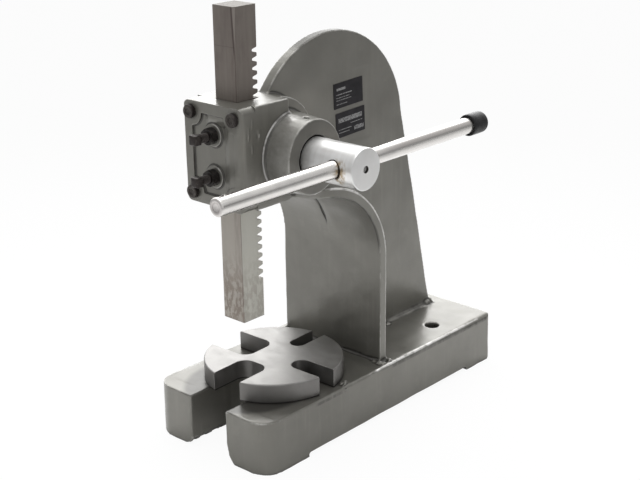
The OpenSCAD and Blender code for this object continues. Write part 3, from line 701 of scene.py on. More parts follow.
def mark_turn(obj):
    """Stores how sharply the surface turns at each point, in 1/mm: above 0 on edges, below 0 in corners."""
    points, normals = get_points(obj), get_normals(obj)
    a, b = edge_ends(obj)
    ends = np.concatenate([a, b])
    step = points[b] - points[a]
    square = np.maximum(np.sum(step ** 2, axis=1), 0.04)
    bend = np.concatenate([-np.sum(step * normals[a], axis=1), np.sum(step * normals[b], axis=1)])
    count = np.maximum(np.bincount(ends, minlength=len(points)), 1)
    turn = 2 * np.bincount(ends, bend / np.tile(square, 2), len(points)) / count
    near = np.bincount(ends, turn[np.concatenate([b, a])], len(points)) / count
    layer = obj.data.attributes.new("turn", "FLOAT", "POINT")
    layer.data.foreach_set("value", ((turn + near) / 2).astype(np.float32))


def relax(obj, points, rounds, weight):
    """Smooths without shrinking, as far as each point's weight allows."""
    a, b = edge_ends(obj)
    count = np.bincount(np.concatenate([a, b]), minlength=len(points)).astype(float)
    for step in range(rounds):
        pull = 0.55 if step % 2 == 0 else -0.5
        mean = np.stack([np.bincount(a, points[b, k], len(points)) + np.bincount(b, points[a, k], len(points))
                         for k in range(3)], axis=1) / count[:, None]
        points = points + pull * weight[:, None] * (mean - points)
    return points


def round_edge(points, faces, radius):
    """Rounds the edge between two faces. Each face is (axis, its place, which way it looks)."""
    (a, place_a, way_a), (b, place_b, way_b) = faces
    u = way_a * (points[:, a] - place_a) + radius
    v = way_b * (points[:, b] - place_b) + radius
    reach = np.hypot(u, v)
    hit = (u > 0) & (v > 0) & (reach > radius)
    scale = np.where(hit, radius / np.maximum(reach, 1e-9), 1.0)
    points[:, a] = np.where(hit, place_a + way_a * (u * scale - radius), points[:, a])
    points[:, b] = np.where(hit, place_b + way_b * (v * scale - radius), points[:, b])


def voxels(obj, size):
    modify(obj, "REMESH", mode="VOXEL", voxel_size=size * MM * 1)
    apply_modifiers(obj)


def block(low, high):
    """A box between two corners."""
    (x0, y0, z0), (x1, y1, z1) = low, high
    outline = [(y0, z0), (y1, z0), (y1, z1), (y0, z1)]
    return slab("block", outline, x0, x1)


def cut_at_joint(obj, keep_rear):
    """Cuts the head's end off at the cover's joint, and closes the cut with a sharp flat face."""
    way = -1.0 if keep_rear else 1.0
    with editing(obj) as bm:
        close = [v for v in bm.verts
                 if abs(v.co.y - JOINT_Y * MM) < 12 * MM and v.co.z > (HEAD_BOTTOM - 4) * MM]
        near = set(close)
        faces = [f for f in bm.faces if all(v in near for v in f.verts)]
        edges = {e for f in faces for e in f.edges}
        cut = bmesh.ops.bisect_plane(bm, geom=[*close, *edges, *faces], plane_co=(0, JOINT_Y * MM, 0),
                                     plane_no=(0, way, 0), clear_outer=True, dist=1e-6)
        rim = [e for e in cut["geom_cut"] if isinstance(e, bmesh.types.BMEdge) and e.is_valid]
        bmesh.ops.holes_fill(bm, edges=rim)
        for edge in rim:
            edge.smooth = False


def thin_out(obj, triangles):
    faces = len(obj.data.polygons) * 2
    if faces > triangles:
        modify(obj, "DECIMATE", ratio=triangles / faces)
        apply_modifiers(obj)


# ---------------------------------------------------------------- casting

def casting_fillets():
    """The casting's inner corners, which the CAD frame keeps square."""
    made = []
    wave = np.random.default_rng(11)

    def rough(radius, spread):
        return radius + spread * wave.uniform(-1, 1)

    for side in (-1, 1):
        out = (side, 0, 0)
        foot = [((side * WEB_HALF, y, BASE_TOP), out, (0, 0, 1), rough(5.5, 0.5))
                for y in np.arange(FLANGE_BACK - 2, WEB_REAR + 1, 6.0)]
        made.append(fillet(foot))
        back = [((side * WEB_HALF, FLANGE_BACK, z), out, (0, 1, 0), 4.0)
                for z in np.linspace(BASE_TOP - 1, BEND_Z, 12)]
        back += [((side * WEB_HALF, BEND_Y + BEND_OUT * math.cos(t), BEND_Z + BEND_OUT * math.sin(t)),
                  out, (0, math.cos(t), math.sin(t)), 4.0)
                 for t in np.linspace(0.05, 1.25, 16)]
        made.append(fillet(back))
        made.append(fillet([((side * FLANGE_HALF, y, BASE_TOP), out, (0, 0, 1), rough(2.2, 0.8))
                            for y in np.linspace(FLANGE_FRONT - 1, FLANGE_BACK + 1, 4)]))
        made.append(fillet([((side * SHOULDER_HALF, HEAD_BACK, z), out, (0, 1, 0), 2.5)
                            for z in (HEAD_BOTTOM + 3, HEAD_TOP - 3)]))
    for y, way in ((FLANGE_FRONT, -1), (FLANGE_BACK, 1)):
        made.append(fillet([((x, y, BASE_TOP), (0, way, 0), (0, 0, 1), rough(2.6, 1.1))
                            for x in np.arange(-FLANGE_HALF, FLANGE_HALF + 1, 4.5)]))
    made.append(fillet([((x, WEB_REAR, BASE_TOP), (0, 1, 0), (0, 0, 1), 5.0)
                        for x in np.linspace(-WEB_HALF - 3, WEB_HALF + 3, 4)]))

    def ring(x, radius, way, start, end, size):
        return fillet([((x, SHAFT_Y + radius * math.cos(t), SHAFT_Z + radius * math.sin(t)),
                        (0, math.cos(t), math.sin(t)), (way, 0, 0), size)
                       for t in np.linspace(math.radians(start), math.radians(end), 40)])

    made.append(ring(HEAD_HALF, BOSS_ROOT_R, 1, 92, 268, 2.0))
    made.append(ring(SHOULDER_HALF, BOSS_ROOT_R, 1, -88, 88, 2.0))
    made.append(ring(-HEAD_HALF, FAR_BOSS_R, -1, 95, 265, 1.5))
    made.append(ring(-SHOULDER_HALF, FAR_BOSS_R, -1, -85, 85, 2.0))
    return made


LUMPS = [  # (centre, half-sizes) of weld-like lumps and casting flaws
    ((62.3, 113.4, 50.7), (2.4, 2.2, 2.4)), ((66.5, 115.5, 50.2), (3.2, 2.2, 1.7)),
    ((64.3, 124.6, 50.8), (2.6, 1.5, 1.9)), ((68.0, 122.8, 50.4), (2.8, 1.4, 1.7)),
    ((69.2, 113, 49.8), (2.0, 3.4, 1.4)), ((57, 113.6, 50.4), (3.0, 1.8, 1.2)),
    ((64.2, 57.4, 50.3), (2.2, 2.4, 2.3)), ((66.1, 60.2, 50.6), (2.4, 2.2, 3.0)),
    ((68.6, 59.0, 50.4), (2.3, 2.6, 2.6)), ((70.0, 56.0, 49.4), (1.9, 2.8, 2.8)),
    ((-61.5, 116, 50.6), (2.6, 2.4, 2.2)),
    ((6.5, 259, 52), (2.2, 4.0, 2.2)), ((9.5, 190, 50.6), (2.0, 3.0, 1.3)),
    ((34.2, -9.6, 291.5), (1.1, 1.1, 6.5)),
]
COVER_LUMPS = [  # paint runs on the head's right side
    ((34.2, -21.4, 294.5), (1.0, 0.9, 6.5)), ((34.2, -17.4, 302.9), (0.9, 0.8, 5.5)),
    ((34.2, -17.9, 281.5), (0.8, 0.8, 5.0)),
]


def keep_clear(points):
    """Holds the casting's moving fits open: the ram's channel and the shaft's bores."""
    gap = RAM_HALF + 0.25
    x, y, z = points.T
    in_head = (z > HEAD_BOTTOM - 3) & (z < HEAD_TOP + 3)
    hit = in_head & (np.abs(x) < gap) & (y > -gap - 1) & (y < gap)
    to_side, to_back = gap - np.abs(x), gap - y
    sideways = hit & (to_side < to_back)
    points[sideways, 0] = np.sign(x[sideways]) * gap
    points[hit & ~sideways, 1] = gap
    dy, dz = points[:, 1] - SHAFT_Y, points[:, 2] - SHAFT_Z
    reach = np.hypot(dy, dz)
    for low, high, radius in ((-15.3, MOUTH_X - 0.3, JOURNAL_R + 0.15), (-40.5, -14.8, STEM_R + 0.15),
                              (MOUTH_X - 0.3, BOSS_FACE_X + 1, MOUTH_R)):
        tight = (points[:, 0] > low) & (points[:, 0] < high) & (reach < radius) & (reach > 1)
        points[tight, 1] = SHAFT_Y + dy[tight] * radius / reach[tight]
        points[tight, 2] = SHAFT_Z + dz[tight] * radius / reach[tight]


def join_rims(points):
    """Gives the rims on both sides of the cover's joint one shape, with a small notch at the top right."""
    x, y, z = points.T
    close = ease(-np.abs(y - JOINT_Y), -6, -3) * (z > HEAD_BOTTOM - 1)
    for side in (-1, 1):
        for edge_z, way in ((HEAD_TOP, 1), (HEAD_BOTTOM, -1)):
            near = (np.abs(x - side * HEAD_HALF) < 1.4) & (np.abs(z - edge_z) < 1.4) & (close > 0)
            u, v = side * (x - side * HEAD_HALF) + 1.2, way * (z - edge_z) + 1.2
            reach = np.maximum(np.hypot(u, v), 1e-6)
            hit = near & (u > 0) & (v > 0)
            points[:, 0] = np.where(hit, x + close * side * u * (1.2 / reach - 1), points[:, 0])
            points[:, 2] = np.where(hit, z + close * way * v * (1.2 / reach - 1), points[:, 2])
    away = np.sum((points - (HEAD_HALF, JOINT_Y, HEAD_TOP)) ** 2 / (3.0, 0.5, 3.0), axis=1)
    points[:, 2] -= 1.8 * np.exp(-away)


def make_casting():
    """The CAD casting with its inner corners filled, then remeshed, worn and made uneven."""
    obj = cad_copy("frame_casting", "casting")
    ahead = [block((low, JOINT_Y - 4.5, HEAD_BOTTOM), (high, JOINT_Y + 2, HEAD_TOP))
             for low, high in ((-HEAD_HALF, -RAM_HALF - 0.4), (RAM_HALF + 0.4, HEAD_HALF))]
    join(obj, casting_fillets() + [lump(*place) for place in LUMPS] + ahead)
    voxels(obj, CASTING_VOXEL)
    points = get_points(obj)
    fits = outside(points, (-14, -15, HEAD_BOTTOM - 2), (14, 14, HEAD_TOP + 2), 3)
    fits *= outside(points, (-41, SHAFT_Y - 25, SHAFT_Z - 25), (62, SHAFT_Y + 25, SHAFT_Z + 25), 3)
    points = relax(obj, points, 8, 0.25 + 0.75 * fits)
    set_points(obj, points)

    # long edges of the base's top: crisp at the front, worn and wavy on the right
    y = points[:, 1]
    wave = value_noise(points * (0, 1, 0), 9.0, 3) * 0.9 + value_noise(points * (0, 1, 0), 3.5, 4) * 0.5
    right_r = 1.6 + ease(y, 50, 66) * (1.6 + wave) + ease(y, 190, 262) * 1.6
    right_r = np.maximum(right_r, 0.8)
    round_edge(points, ((0, BASE_HIGH_X, 1), (2, BASE_TOP, 1)), right_r)
    round_edge(points, ((0, -BASE_HIGH_X, -1), (2, BASE_TOP, 1)), 1.8 + 0.4 * wave)

    # ragged lower edge of the left arm's slot wall
    ragged = ease(-points[:, 0], 20, 21) * ease(points[:, 0], -30, -25) * ease(-y, -4, 0)
    ragged *= ease(-points[:, 2], -9, -6)
    points[:, 2] += ragged * np.abs(np.round(value_noise(points * (0, 1, 0.4), 4.0, 8) * 1.6)) * 0.9

    # the pattern's draft: the base is wider at its foot
    foot = 1 - np.clip(points[:, 2] / BASE_TOP, 0, 1)
    points[:, 0] += np.sign(points[:, 0]) * 1.1 * foot * ease(np.abs(points[:, 0]), 55, 68)
    points[:, 1] -= 1.0 * foot * ease(-y, 45, 55)

    # the throat's bend has a shallow crease, deeper on its right
    dy, dz = y - BEND_Y, points[:, 2] - BEND_Z
    in_bend = (dz > 0) & (np.abs(np.hypot(dy, dz) - BEND_IN) < 3.5)
    crease = in_bend * ease(points[:, 2], 172, 186) * ease(-points[:, 2], -209, -203)
    x = points[:, 0] + 2.6
    hollow = ease(-np.abs(x), -9, 0) * np.where(x < 0, 0.3, 1.0)
    depth = crease * (hollow + 0.5 * ease(-np.abs(x), -1.6, 0))
    out = np.stack([np.zeros(len(points)), dy, dz], axis=1) / np.maximum(np.hypot(dy, dz), 1)[:, None]
    points += out * depth[:, None]

    # uneven cast faces, but not where other pieces sit
    flat = fits * outside(points, (-99, JOINT_Y - 1, HEAD_BOTTOM - 2), (99, JOINT_Y + 1, HEAD_TOP + 2), 4)
    flat *= outside(points, (4, 110, 252), (6, 165, 316), 4)
    flat *= outside(points, (-66, -31, 48), (66, 101, 52), 3)
    swell = value_noise(points, 26.0, 1) * 0.28 + value_noise(points, 9.0, 2) * 0.12
    set_points(obj, points)
    points += get_normals(obj) * (swell * flat)[:, None]

    join_rims(points)
    keep_clear(points)
    points[:, 2] = np.maximum(points[:, 2], 0)
    set_points(obj, points)
    settle(obj, CASTING_TRIANGLES, keep_rear=True)
    finish_piece(obj, enamel("frame_enamel", casting=True), "frame", "frame_enamel", "frame_casting")


def settle(obj, triangles, keep_rear):
    """Thins the mesh out, marks its edges and corners, and cuts it at the joint."""
    thin_out(obj, triangles)
    shade(obj)
    mark_turn(obj)
    cut_at_joint(obj, keep_rear)
    modify(obj, "WEIGHTED_NORMAL", weight=50, keep_sharp=True)
    apply_modifiers(obj)


def make_cover():
    """The CAD cover, remeshed, with its recess running out on two sides."""
    obj = cad_copy("cover_plate", "cover")
    r = COVER_CORNER_R
    outline = [(side * (HEAD_HALF - r + r * math.cos(t)), edge + way * (r * math.sin(t) - r))
               for side, edge, way, turns in ((1, HEAD_TOP, 1, (0, 1)), (-1, HEAD_TOP, 1, (1, 0)),
                                              (-1, HEAD_BOTTOM, -1, (0, 1)), (1, HEAD_BOTTOM, -1, (1, 0)))
               for t in np.linspace(*turns, 8) * math.pi / 2]
    behind = prism("behind", [np.array([(x, y, z) for x, z in outline])
                              for y in (JOINT_Y - 0.8, JOINT_Y + 4)])
    join(obj, [behind] + [lump(*place) for place in COVER_LUMPS])
    voxels(obj, COVER_VOXEL)
    points = get_points(obj)
    points = relax(obj, points, 8, np.ones(len(points)))
    # the recess runs out towards its right side and along its top
    face = COVER_LOW[1]
    fill = np.maximum(ease(points[:, 0], 12, 20), ease(points[:, 2], HEAD_TOP - 19, HEAD_TOP - 12)
                      * ease(points[:, 0], -10, -3))
    in_panel = (points[:, 1] > face) & (points[:, 1] < face + PANEL_DEPTH + 0.5)
    points[:, 1] -= np.where(in_panel, 0.92 * fill * (points[:, 1] - face), 0)
    for side, radius in ((1, 5.0), (-1, 1.2)):
        round_edge(points, ((0, side * HEAD_HALF, side), (1, face, -1)), radius)
    set_points(obj, points)
    swell = value_noise(points, 18.0, 5) * 0.14 + value_noise(points, 6.0, 6) * 0.07
    away = outside(points, (-99, JOINT_Y - 1, HEAD_BOTTOM - 2), (99, JOINT_Y + 5, HEAD_TOP + 2), 4)
    points += get_normals(obj) * (swell * away)[:, None]
    set_points(obj, points)
    settle(obj, COVER_TRIANGLES, keep_rear=False)
    finish_piece(obj, enamel("cover_enamel"), "frame", "cover_enamel", "cover_plate")


# ---------------------------------------------------------------- screws and nuts

def socket_screw(name, node_low, node_high, axis, head_d, head_h, shank_d, filled, material, body, node):
    """Socket-head screw whose axis points out of its head, along X or Y. filled is its socket's depth."""
    a = int(np.argmax(np.abs(axis)))
    centre = (node_low + node_high) / 2
    seat = np.array(centre)
    length = node_high[a] - node_low[a] - head_h
    seat[a] = (node_high if axis[a] > 0 else node_low)[a] - axis[a] * head_h
    knurl = head_d / 2 - 0.16 * (np.arange(SEGMENTS) % 4 < 2)
    socket = polygon_radius(6, head_d * 0.48)
    rings = [(-length, shank_d / 2 - 0.8), (-length + 0.8, shank_d / 2), (0, shank_d / 2),
             (0, head_d / 2 - 0.3), (0.3, knurl), (head_h - 1.2, knurl), (head_h - 0.7, head_d / 2 - 0.1),
             (head_h - 0.2, head_d / 2 - 0.45), (head_h, head_d / 2 - 0.9),
             (head_h, socket + 0.2), (head_h - 0.35 * filled, socket - 0.3), (head_h - filled, socket * 0.72),
             (head_h - 1.1 * filled, 0.4)]
    obj = loft(name, rings, seat, axis, turn=0.4)
    shade(obj, 35)
    return finish_piece(obj, material, body, "black_screw", node)


def make_locknut(node, material):
    """Hexagon nut with its corners turned off at both ends."""
    low, high = cad_box(node)
    thick, bore = high[1] - low[1], NUT_BORE_R
    corner = NUT_FLATS / 2 / math.cos(math.pi / 6)
    hexagon = polygon_radius(6, NUT_FLATS, corner - 0.15)
    blunt = np.minimum(hexagon, NUT_FLATS / 2 + 0.35)
    middle = polygon_radius(6, NUT_FLATS, corner - 0.5)
    rings = [(0, blunt), (0.55, middle), (1.0, hexagon), (thick - 1.0, hexagon), (thick - 0.55, middle),
             (thick, blunt), (thick, bore + 0.6), (thick - 0.6, bore), (0.6, bore), (0, bore + 0.6)]
    origin = (0, high[1], (low[2] + high[2]) / 2)
    obj = loft(node + "_piece", rings, origin, (0, -1, 0), turn=math.pi / 6 + 0.12, tube=True)
    shade(obj, 35)
    finish_piece(obj, material, "frame", "black_nut", node)


def make_adjuster(node, material):
    """Square-ended set screw, with its thread showing past the locknut."""
    low, high = cad_box(node)
    length, square_l, flats, thread_r = high[1] - low[1], 7.0, 8.4, 4.0
    pitch, depth = 1.25, 0.55
    neck = length - square_l  # where the square end starts
    thread_from, thread_to = neck - 9.0, neck - 0.6
    rings = [(0, thread_r - 0.8), (0.8, thread_r - 0.1), (thread_from, thread_r - 0.1)]
    for h in np.arange(thread_from + 0.1, thread_to, pitch / 8):
        phase = (h / pitch - ANGLES / (2 * math.pi)) % 1
        rings.append((h, thread_r - depth * np.abs(2 * phase - 1)))
    square = polygon_radius(4, flats, flats / 2 * 1.33)
    small = polygon_radius(4, flats - 0.8, flats / 2 * 1.22)
    rings += [(thread_to, thread_r - depth), (neck, thread_r - depth), (neck, small), (neck + 0.4, square),
              (length - 0.9, square), (length - 0.3, small),
              (length, polygon_radius(4, flats - 2.6, flats / 2)), (length, 0.5)]
    origin = (0, high[1], (low[2] + high[2]) / 2)
    obj = loft(node + "_piece", rings, origin, (0, -1, 0), turn=math.pi / 4)
    shade(obj, 35)
    finish_piece(obj, material, "frame", "black_adjuster", node)


def make_fasteners():
    screw_black = black_oxide("black_screw", 0.006, face=True)
    for height in ("upper", "lower"):
        for side in ("left", "right"):
            node = f"cover_screw_{height}_{side}"
            socket_screw(node + "_piece", *cad_box(node), np.array((0, -1.0, 0)), COVER_HEAD_D, COVER_HEAD_H,
                         COVER_SHANK_D, 0.8, screw_black, "frame", node)
    socket_screw("retaining_screw_piece", *cad_box("retaining_screw"), np.array((-1.0, 0, 0)),
                 KEEPER_HEAD_D, KEEPER_HEAD_H, KEEPER_SHANK_D, 3.0, screw_black, "pinion", "retaining_screw")
    nut_black, adjuster_black = black_oxide("black_nut"), black_oxide("black_adjuster", 0.008)
    for height in ("upper", "lower"):
        make_locknut("locknut_" + height, nut_black)
        make_adjuster("adjusting_screw_" + height, adjuster_black)


# ---------------------------------------------------------------- ram, shaft and handle

def slab(name, outline, low_x, high_x):
    """A drawing of (Y, Z) points, run from low_x to high_x."""
    outline = np.asarray(outline, float)
    return prism(name, [np.column_stack([np.full(len(outline), x), outline]) for x in (low_x, high_x)])


def bevel(obj, width, degrees=30, rows=2):
    modify(obj, "BEVEL", width=width * MM, segments=rows, limit_method="ANGLE",
           angle_limit=math.radians(degrees), use_clamp_overlap=False, harden_normals=False)
    apply_modifiers(obj)
    shade(obj, 40)
    modify(obj, "WEIGHTED_NORMAL", weight=50, keep_sharp=True)
    apply_modifiers(obj)


def make_ram():
    """Square bar, toothed on its rear face, with a ground facet on its front right corner."""
    pitch = math.pi * GEAR_MODULE
    line = RAM_HALF - GEAR_MODULE
    root = line - GEAR_MODULE * 1.25

    def half(y):
        return pitch / 4 - RACK_TRIM + (y - line) * RACK_SLOPE

    face_w, root_w, lean = half(RAM_HALF), half(root), 0.9 * RACK_SLOPE
    space = [(RAM_HALF, face_w + 0.7), (RAM_HALF - 0.22, face_w + 0.15), (RAM_HALF - 0.9, face_w - lean),
             (root + 0.5, root_w + 0.5 * RACK_SLOPE), (root + 0.1, root_w - 0.15), (root, root_w - 0.45)]
    outline = [(-RAM_HALF, RAM_HIGH[2]), (-RAM_HALF, RAM_LOW[2]), (RAM_HALF, RAM_LOW[2])]
    for i in range(RACK_SPACES):
        z = RAM_LOW[2] + RACK_PLAIN + pitch / 2 + i * pitch
        outline += [(y, z - w) for y, w in space] + [(y, z + w) for y, w in reversed(space)]
    outline.append((RAM_HALF, RAM_HIGH[2]))
    obj = slab("ram_bar", outline, -RAM_HALF, RAM_HALF)
    start = Vector((RAM_HALF, -RAM_HALF, RAM_HIGH[2] - FACET_LENGTH)) * MM
    way = Vector((1, -1, FACET_TOP / FACET_LENGTH))
    with editing(obj) as bm:
        cut = bmesh.ops.bisect_plane(bm, geom=[*bm.verts, *bm.edges, *bm.faces], plane_co=start,
                                     plane_no=way, clear_outer=True, dist=1e-7)
        edges = [e for e in cut["geom_cut"] if isinstance(e, bmesh.types.BMEdge)]
        bmesh.ops.holes_fill(bm, edges=edges)
    bevel(obj, 0.35)
    finish_piece(obj, ram_steel(), "ram", "ram_steel", "ram")


def pinion_outline():
    """The pinion's teeth seen along the shaft, with one tooth in the rack's nearest space."""
    pitch_r = GEAR_MODULE * TEETH / 2
    base_r = pitch_r * math.cos(PRESSURE)
    tip_r, root_r = pitch_r + GEAR_MODULE * (1 + TOOTH_SHIFT), pitch_r - GEAR_MODULE * (1.25 - TOOTH_SHIFT)
    pitch = math.pi * GEAR_MODULE
    first = RAM_LOW[2] + RACK_PLAIN + pitch / 2
    mesh_z = first + round((SHAFT_Z - first) / pitch) * pitch - SHAFT_Z
    mesh_angle = math.pi - mesh_z / pitch_r
    half_t = pitch / 4 + GEAR_MODULE * TOOTH_SHIFT * math.tan(PRESSURE) - PINION_TRIM
    half_a = half_t / pitch_r + math.tan(PRESSURE) - PRESSURE
    rolls = np.linspace(0, math.sqrt((tip_r / base_r) ** 2 - 1), 6)
    flank = [(base_r * (math.cos(t) + t * math.sin(t)), base_r * (math.sin(t) - t * math.cos(t)))
             for t in rolls]

    def turned(p, a):
        return p[0] * math.cos(a) - p[1] * math.sin(a), p[0] * math.sin(a) + p[1] * math.cos(a)

    side = [turned(p, -half_a) for p in [(root_r, 0), *flank]]
    outline = []
    for i in range(TEETH):
        a = mesh_angle + i * 2 * math.pi / TEETH
        outline += [turned(p, a) for p in side] + [turned((p[0], -p[1]), a) for p in reversed(side)]
    return np.array(outline) + (SHAFT_Y, SHAFT_Z)


def make_shaft():
    """The turned shaft with its cross hole, and the pinion's teeth as a second mesh."""
    steel = shaft_steel()
    low, high = SHAFT_LOW[0], SHAFT_HIGH[0]
    gear_half = RAM_HALF + GEAR_MODULE
    rings = [(low, 3.1), (low, STEM_R - 0.6), (low + 0.6, STEM_R), (-gear_half + 0.4, STEM_R),
             (-gear_half + 0.4, GEAR_CORE_R), (gear_half - 0.4, GEAR_CORE_R),
             (gear_half - 0.4, JOURNAL_R - 0.6), (gear_half + 0.2, JOURNAL_R),
             (JOURNAL_END - 0.6, JOURNAL_R), (JOURNAL_END, JOURNAL_R - 0.6), (JOURNAL_END, SHAFT_R + 0.5),
             (JOURNAL_END + 0.5, SHAFT_R)]
    rings += [(x, SHAFT_R) for x in np.linspace(JOURNAL_END + 6, high - 2, 9)]
    rings += [(high - 0.9, SHAFT_R), (high - 0.35, SHAFT_R - 0.3), (high, SHAFT_R - 0.9), (high, 9.0),
              (high, 3.3), (high - 0.6, 2.5), (high - 4.4, 2.4), (high - 5.0, 0.3)]
    obj = loft("shaft", rings, (0, SHAFT_Y, SHAFT_Z), (1, 0, 0))
    cutter = loft("cross_hole", [(-30, HOLE_R + 0.8), (-14, HOLE_R + 0.5), (-13, HOLE_R), (30, HOLE_R)],
                  (HANDLE_X, SHAFT_Y, SHAFT_Z), (0, 1, 0))
    modify(obj, "BOOLEAN", operation="DIFFERENCE", solver="EXACT", object=cutter)
    apply_modifiers(obj)
    bpy.data.objects.remove(cutter)
    shade(obj, 30)
    finish_piece(obj, steel, "pinion", "shaft_steel", "pinion_shaft")
    teeth = slab("pinion_teeth", pinion_outline(), -gear_half, gear_half)
    bevel(teeth, 0.25)
    finish_piece(teeth, steel, "pinion", "shaft_steel")


def make_handle():
    """The sliding rod, bare at its front end, and the rubber cap at its rear end."""
    radius = (ROD_HIGH[0] - ROD_LOW[0]) / 2
    start, end = ROD_LOW[1], ROD_HIGH[1]
    rings = [(0.35, 0.5), (0.3, radius - 4.0), (0.1, radius - 3.4), (0, radius - 2.2)]
    rings += [(1.7 - 1.7 * math.cos(t), radius - 1.7 + 1.7 * math.sin(t))
              for t in np.linspace(0.25, math.pi / 2, 6)]
    rings += [(HANDLE_GROOVE + 1.4 * t, radius - 0.10 * (0.5 + 0.5 * math.cos(math.pi * t)))
              for t in np.linspace(-1, 1, 9)]
    rings += [(h, radius) for h in np.linspace(16, end - start - 1, 30)]
    rings += [(end - start, radius - 1)]
    obj = loft("handle_bar", rings, (HANDLE_X, start, SHAFT_Z), (0, 1, 0))
    shade(obj, 50)
    rod = satin_steel("rod_steel", (0.80, 0.78, 0.755), (0.68, 0.66, 0.64), 0.22, (300, 4, 300), 0.003)
    bare_end = rod.span(rod.axis("Y", "Normal"), -0.9, -0.6, 1.0, 0.0)
    rod.paint((0.60, 0.575, 0.56), bare_end)
    ring = rod.band(rod.from_axis(HANDLE_X, SHAFT_Z, "XZ"), radius - 4.4, radius - 3.4, 0.4)
    rod.paint((0.30, 0.27, 0.26), bare_end, ring, 0.5)
    # painted reflection: a darker band along the rod's upper slopes, away from its front end
    slope = rod.axis("Z", "Normal")
    slope_shade = rod.all_of(rod.span(slope, 0.25, 0.45), rod.span(slope, 0.70, 0.88, 1.0, 0.0),
                         rod.span(rod.axis("Y"), 0.05, 0.10), 0.55)
    rod.paint((0.36, 0.33, 0.315), slope_shade)
    finish_piece(obj, rod.material, "handle", "rod_steel", "handle_rod")

    outer, length = (CAP_HIGH[0] - CAP_LOW[0]) / 2, CAP_HIGH[1] - CAP_LOW[1]
    rings = [(length - 2.5, radius + 0.02), (0.3, radius + 0.02), (0, radius + 0.4), (0, outer - 0.9),
             (0.35, outer - 0.3), (1.2, outer), (6, outer), (length - 6, outer - 0.05)]
    rings += [(length - 3 + 3 * math.sin(t), outer - 3.05 + 3 * math.cos(t))
              for t in np.linspace(0.2, math.pi / 2, 7)]
    rings += [(length, 3.0), (length - 0.25, 0.4)]
    cap = loft("grip_cap", rings, (HANDLE_X, CAP_LOW[1], SHAFT_Z), (0, 1, 0))
    shade(cap, 35)
    finish_piece(cap, rubber(), "handle", "cap_rubber", "handle_cap")


# ---------------------------------------------------------------- CAD nodes that stay

def refine(node, material, width):
    """Gives a CAD node a better material and broken edges."""
    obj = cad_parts[node]
    modify(obj, "WELD", merge_threshold=1e-6)
    modify(obj, "DECIMATE", decimate_type="DISSOLVE", angle_limit=math.radians(1))
    modify(obj, "BEVEL", width=width * MM, segments=2, limit_method="ANGLE",
           angle_limit=math.radians(35), use_clamp_overlap=False)
    modify(obj, "WEIGHTED_NORMAL", weight=50)
    obj.data.materials.clear()
    obj.data.materials.append(material)


def dress_cad_nodes():
    """Materials for the plate, the washer, the gib, the pivot pin and the labels, which stay CAD shapes."""
    plate = satin_steel("plate_steel", (0.350, 0.343, 0.333), (0.305, 0.298, 0.288), 0.48,
                        (70, 110, 60), 0.006, metallic=0.85)
    # painted shade on the plate's sides
    side = plate.span(plate.math("ABSOLUTE", plate.axis("Z", "Normal")), 0.5, 0.9, 0.5, 0.0)
    plate.paint((0.075, 0.070, 0.065), side)
    # painted shade in the plate's slots and corners and along its foot
    foot = plate.span(plate.axis("Z"), (BASE_TOP + 0.9) * MM, (BASE_TOP + 1.6) * MM, 0.85, 0.0)
    plate_shade = plate.any_of(plate.all_of(plate.shelter(14), 0.8), foot)
    plate.paint((0.03, 0.028, 0.026), plate_shade)
    refine("work_plate", plate.material, 0.45)
    steels = (  # CAD node, width of its broken edges, and what satin_steel takes
        ("retaining_washer", 0.5, "washer_steel", (0.62, 0.61, 0.60), (0.50, 0.49, 0.48), 0.33,
         (60, 500, 500), 0.01),
        ("gib_strip", 0.3, "gib_steel", (0.50, 0.48, 0.45), (0.36, 0.34, 0.32), 0.35, (300, 300, 8)),
        ("plate_pivot_pin", 0.4, "pin_steel", (0.58, 0.57, 0.56), (0.46, 0.45, 0.44), 0.3, (60, 60, 700)))
    for node, edge, *look in steels:
        refine(node, satin_steel(*look).material, edge)
    upper_bars = [(0.10, 0.40, 0.70, 0.80), (0.08, 0.62, 0.52, 0.56), (0.08, 0.55, 0.40, 0.43),
                  (0.08, 0.60, 0.30, 0.33), (0.08, 0.45, 0.14, 0.17)]
    lower_bars = [(0.08, 0.90, 0.60, 0.78), (0.50, 0.92, 0.46, 0.49), (0.62, 0.95, 0.14, 0.30),
                  (0.08, 0.52, 0.30, 0.33), (0.08, 0.45, 0.18, 0.21)]
    for node, bars in (("label_upper", upper_bars), ("label_lower", lower_bars)):
        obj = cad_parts[node]
        obj.data.materials.clear()
        obj.data.materials.append(label_film(node + "_film", *cad_box(node), bars))


# ---------------------------------------------------------------- floor and light

GLOW, GLOW_TURN, GLOW_RISE = 2.8, math.radians(42), math.radians(22)
GLOW_SPREAD = (math.radians(50), math.radians(14))
ROOM, CEILING, OVERHEAD_POWER = 0.66, 0.88, 9
DIM, DIM_WAY = 0.38, (0.72, 0.69, 0.05)
PAPER_NEAR, PAPER_FAR = 0.86, 0.42  # how much light the floor gives back close by and far off: a painted pool of light round the press
PAPER_FADE = (0.25, 1.3)  # metres from the press between which that changes
PAPER_WHITE = 0.94  # how far the camera sees the floor as plain white
FLOOR_HALF = 9000  # mm


def add_node(tree, kind, *inputs, **settings):
    """A node of a tree. An input is a socket to link, a value, or None to leave it."""
    made = tree.nodes.new("ShaderNode" + kind)
    for key, value in settings.items():
        setattr(made, key, value)
    for i, value in enumerate(inputs):
        if isinstance(value, bpy.types.NodeSocket):
            tree.links.new(value, made.inputs[i])
        elif value is not None:
            made.inputs[i].default_value = value
    return made


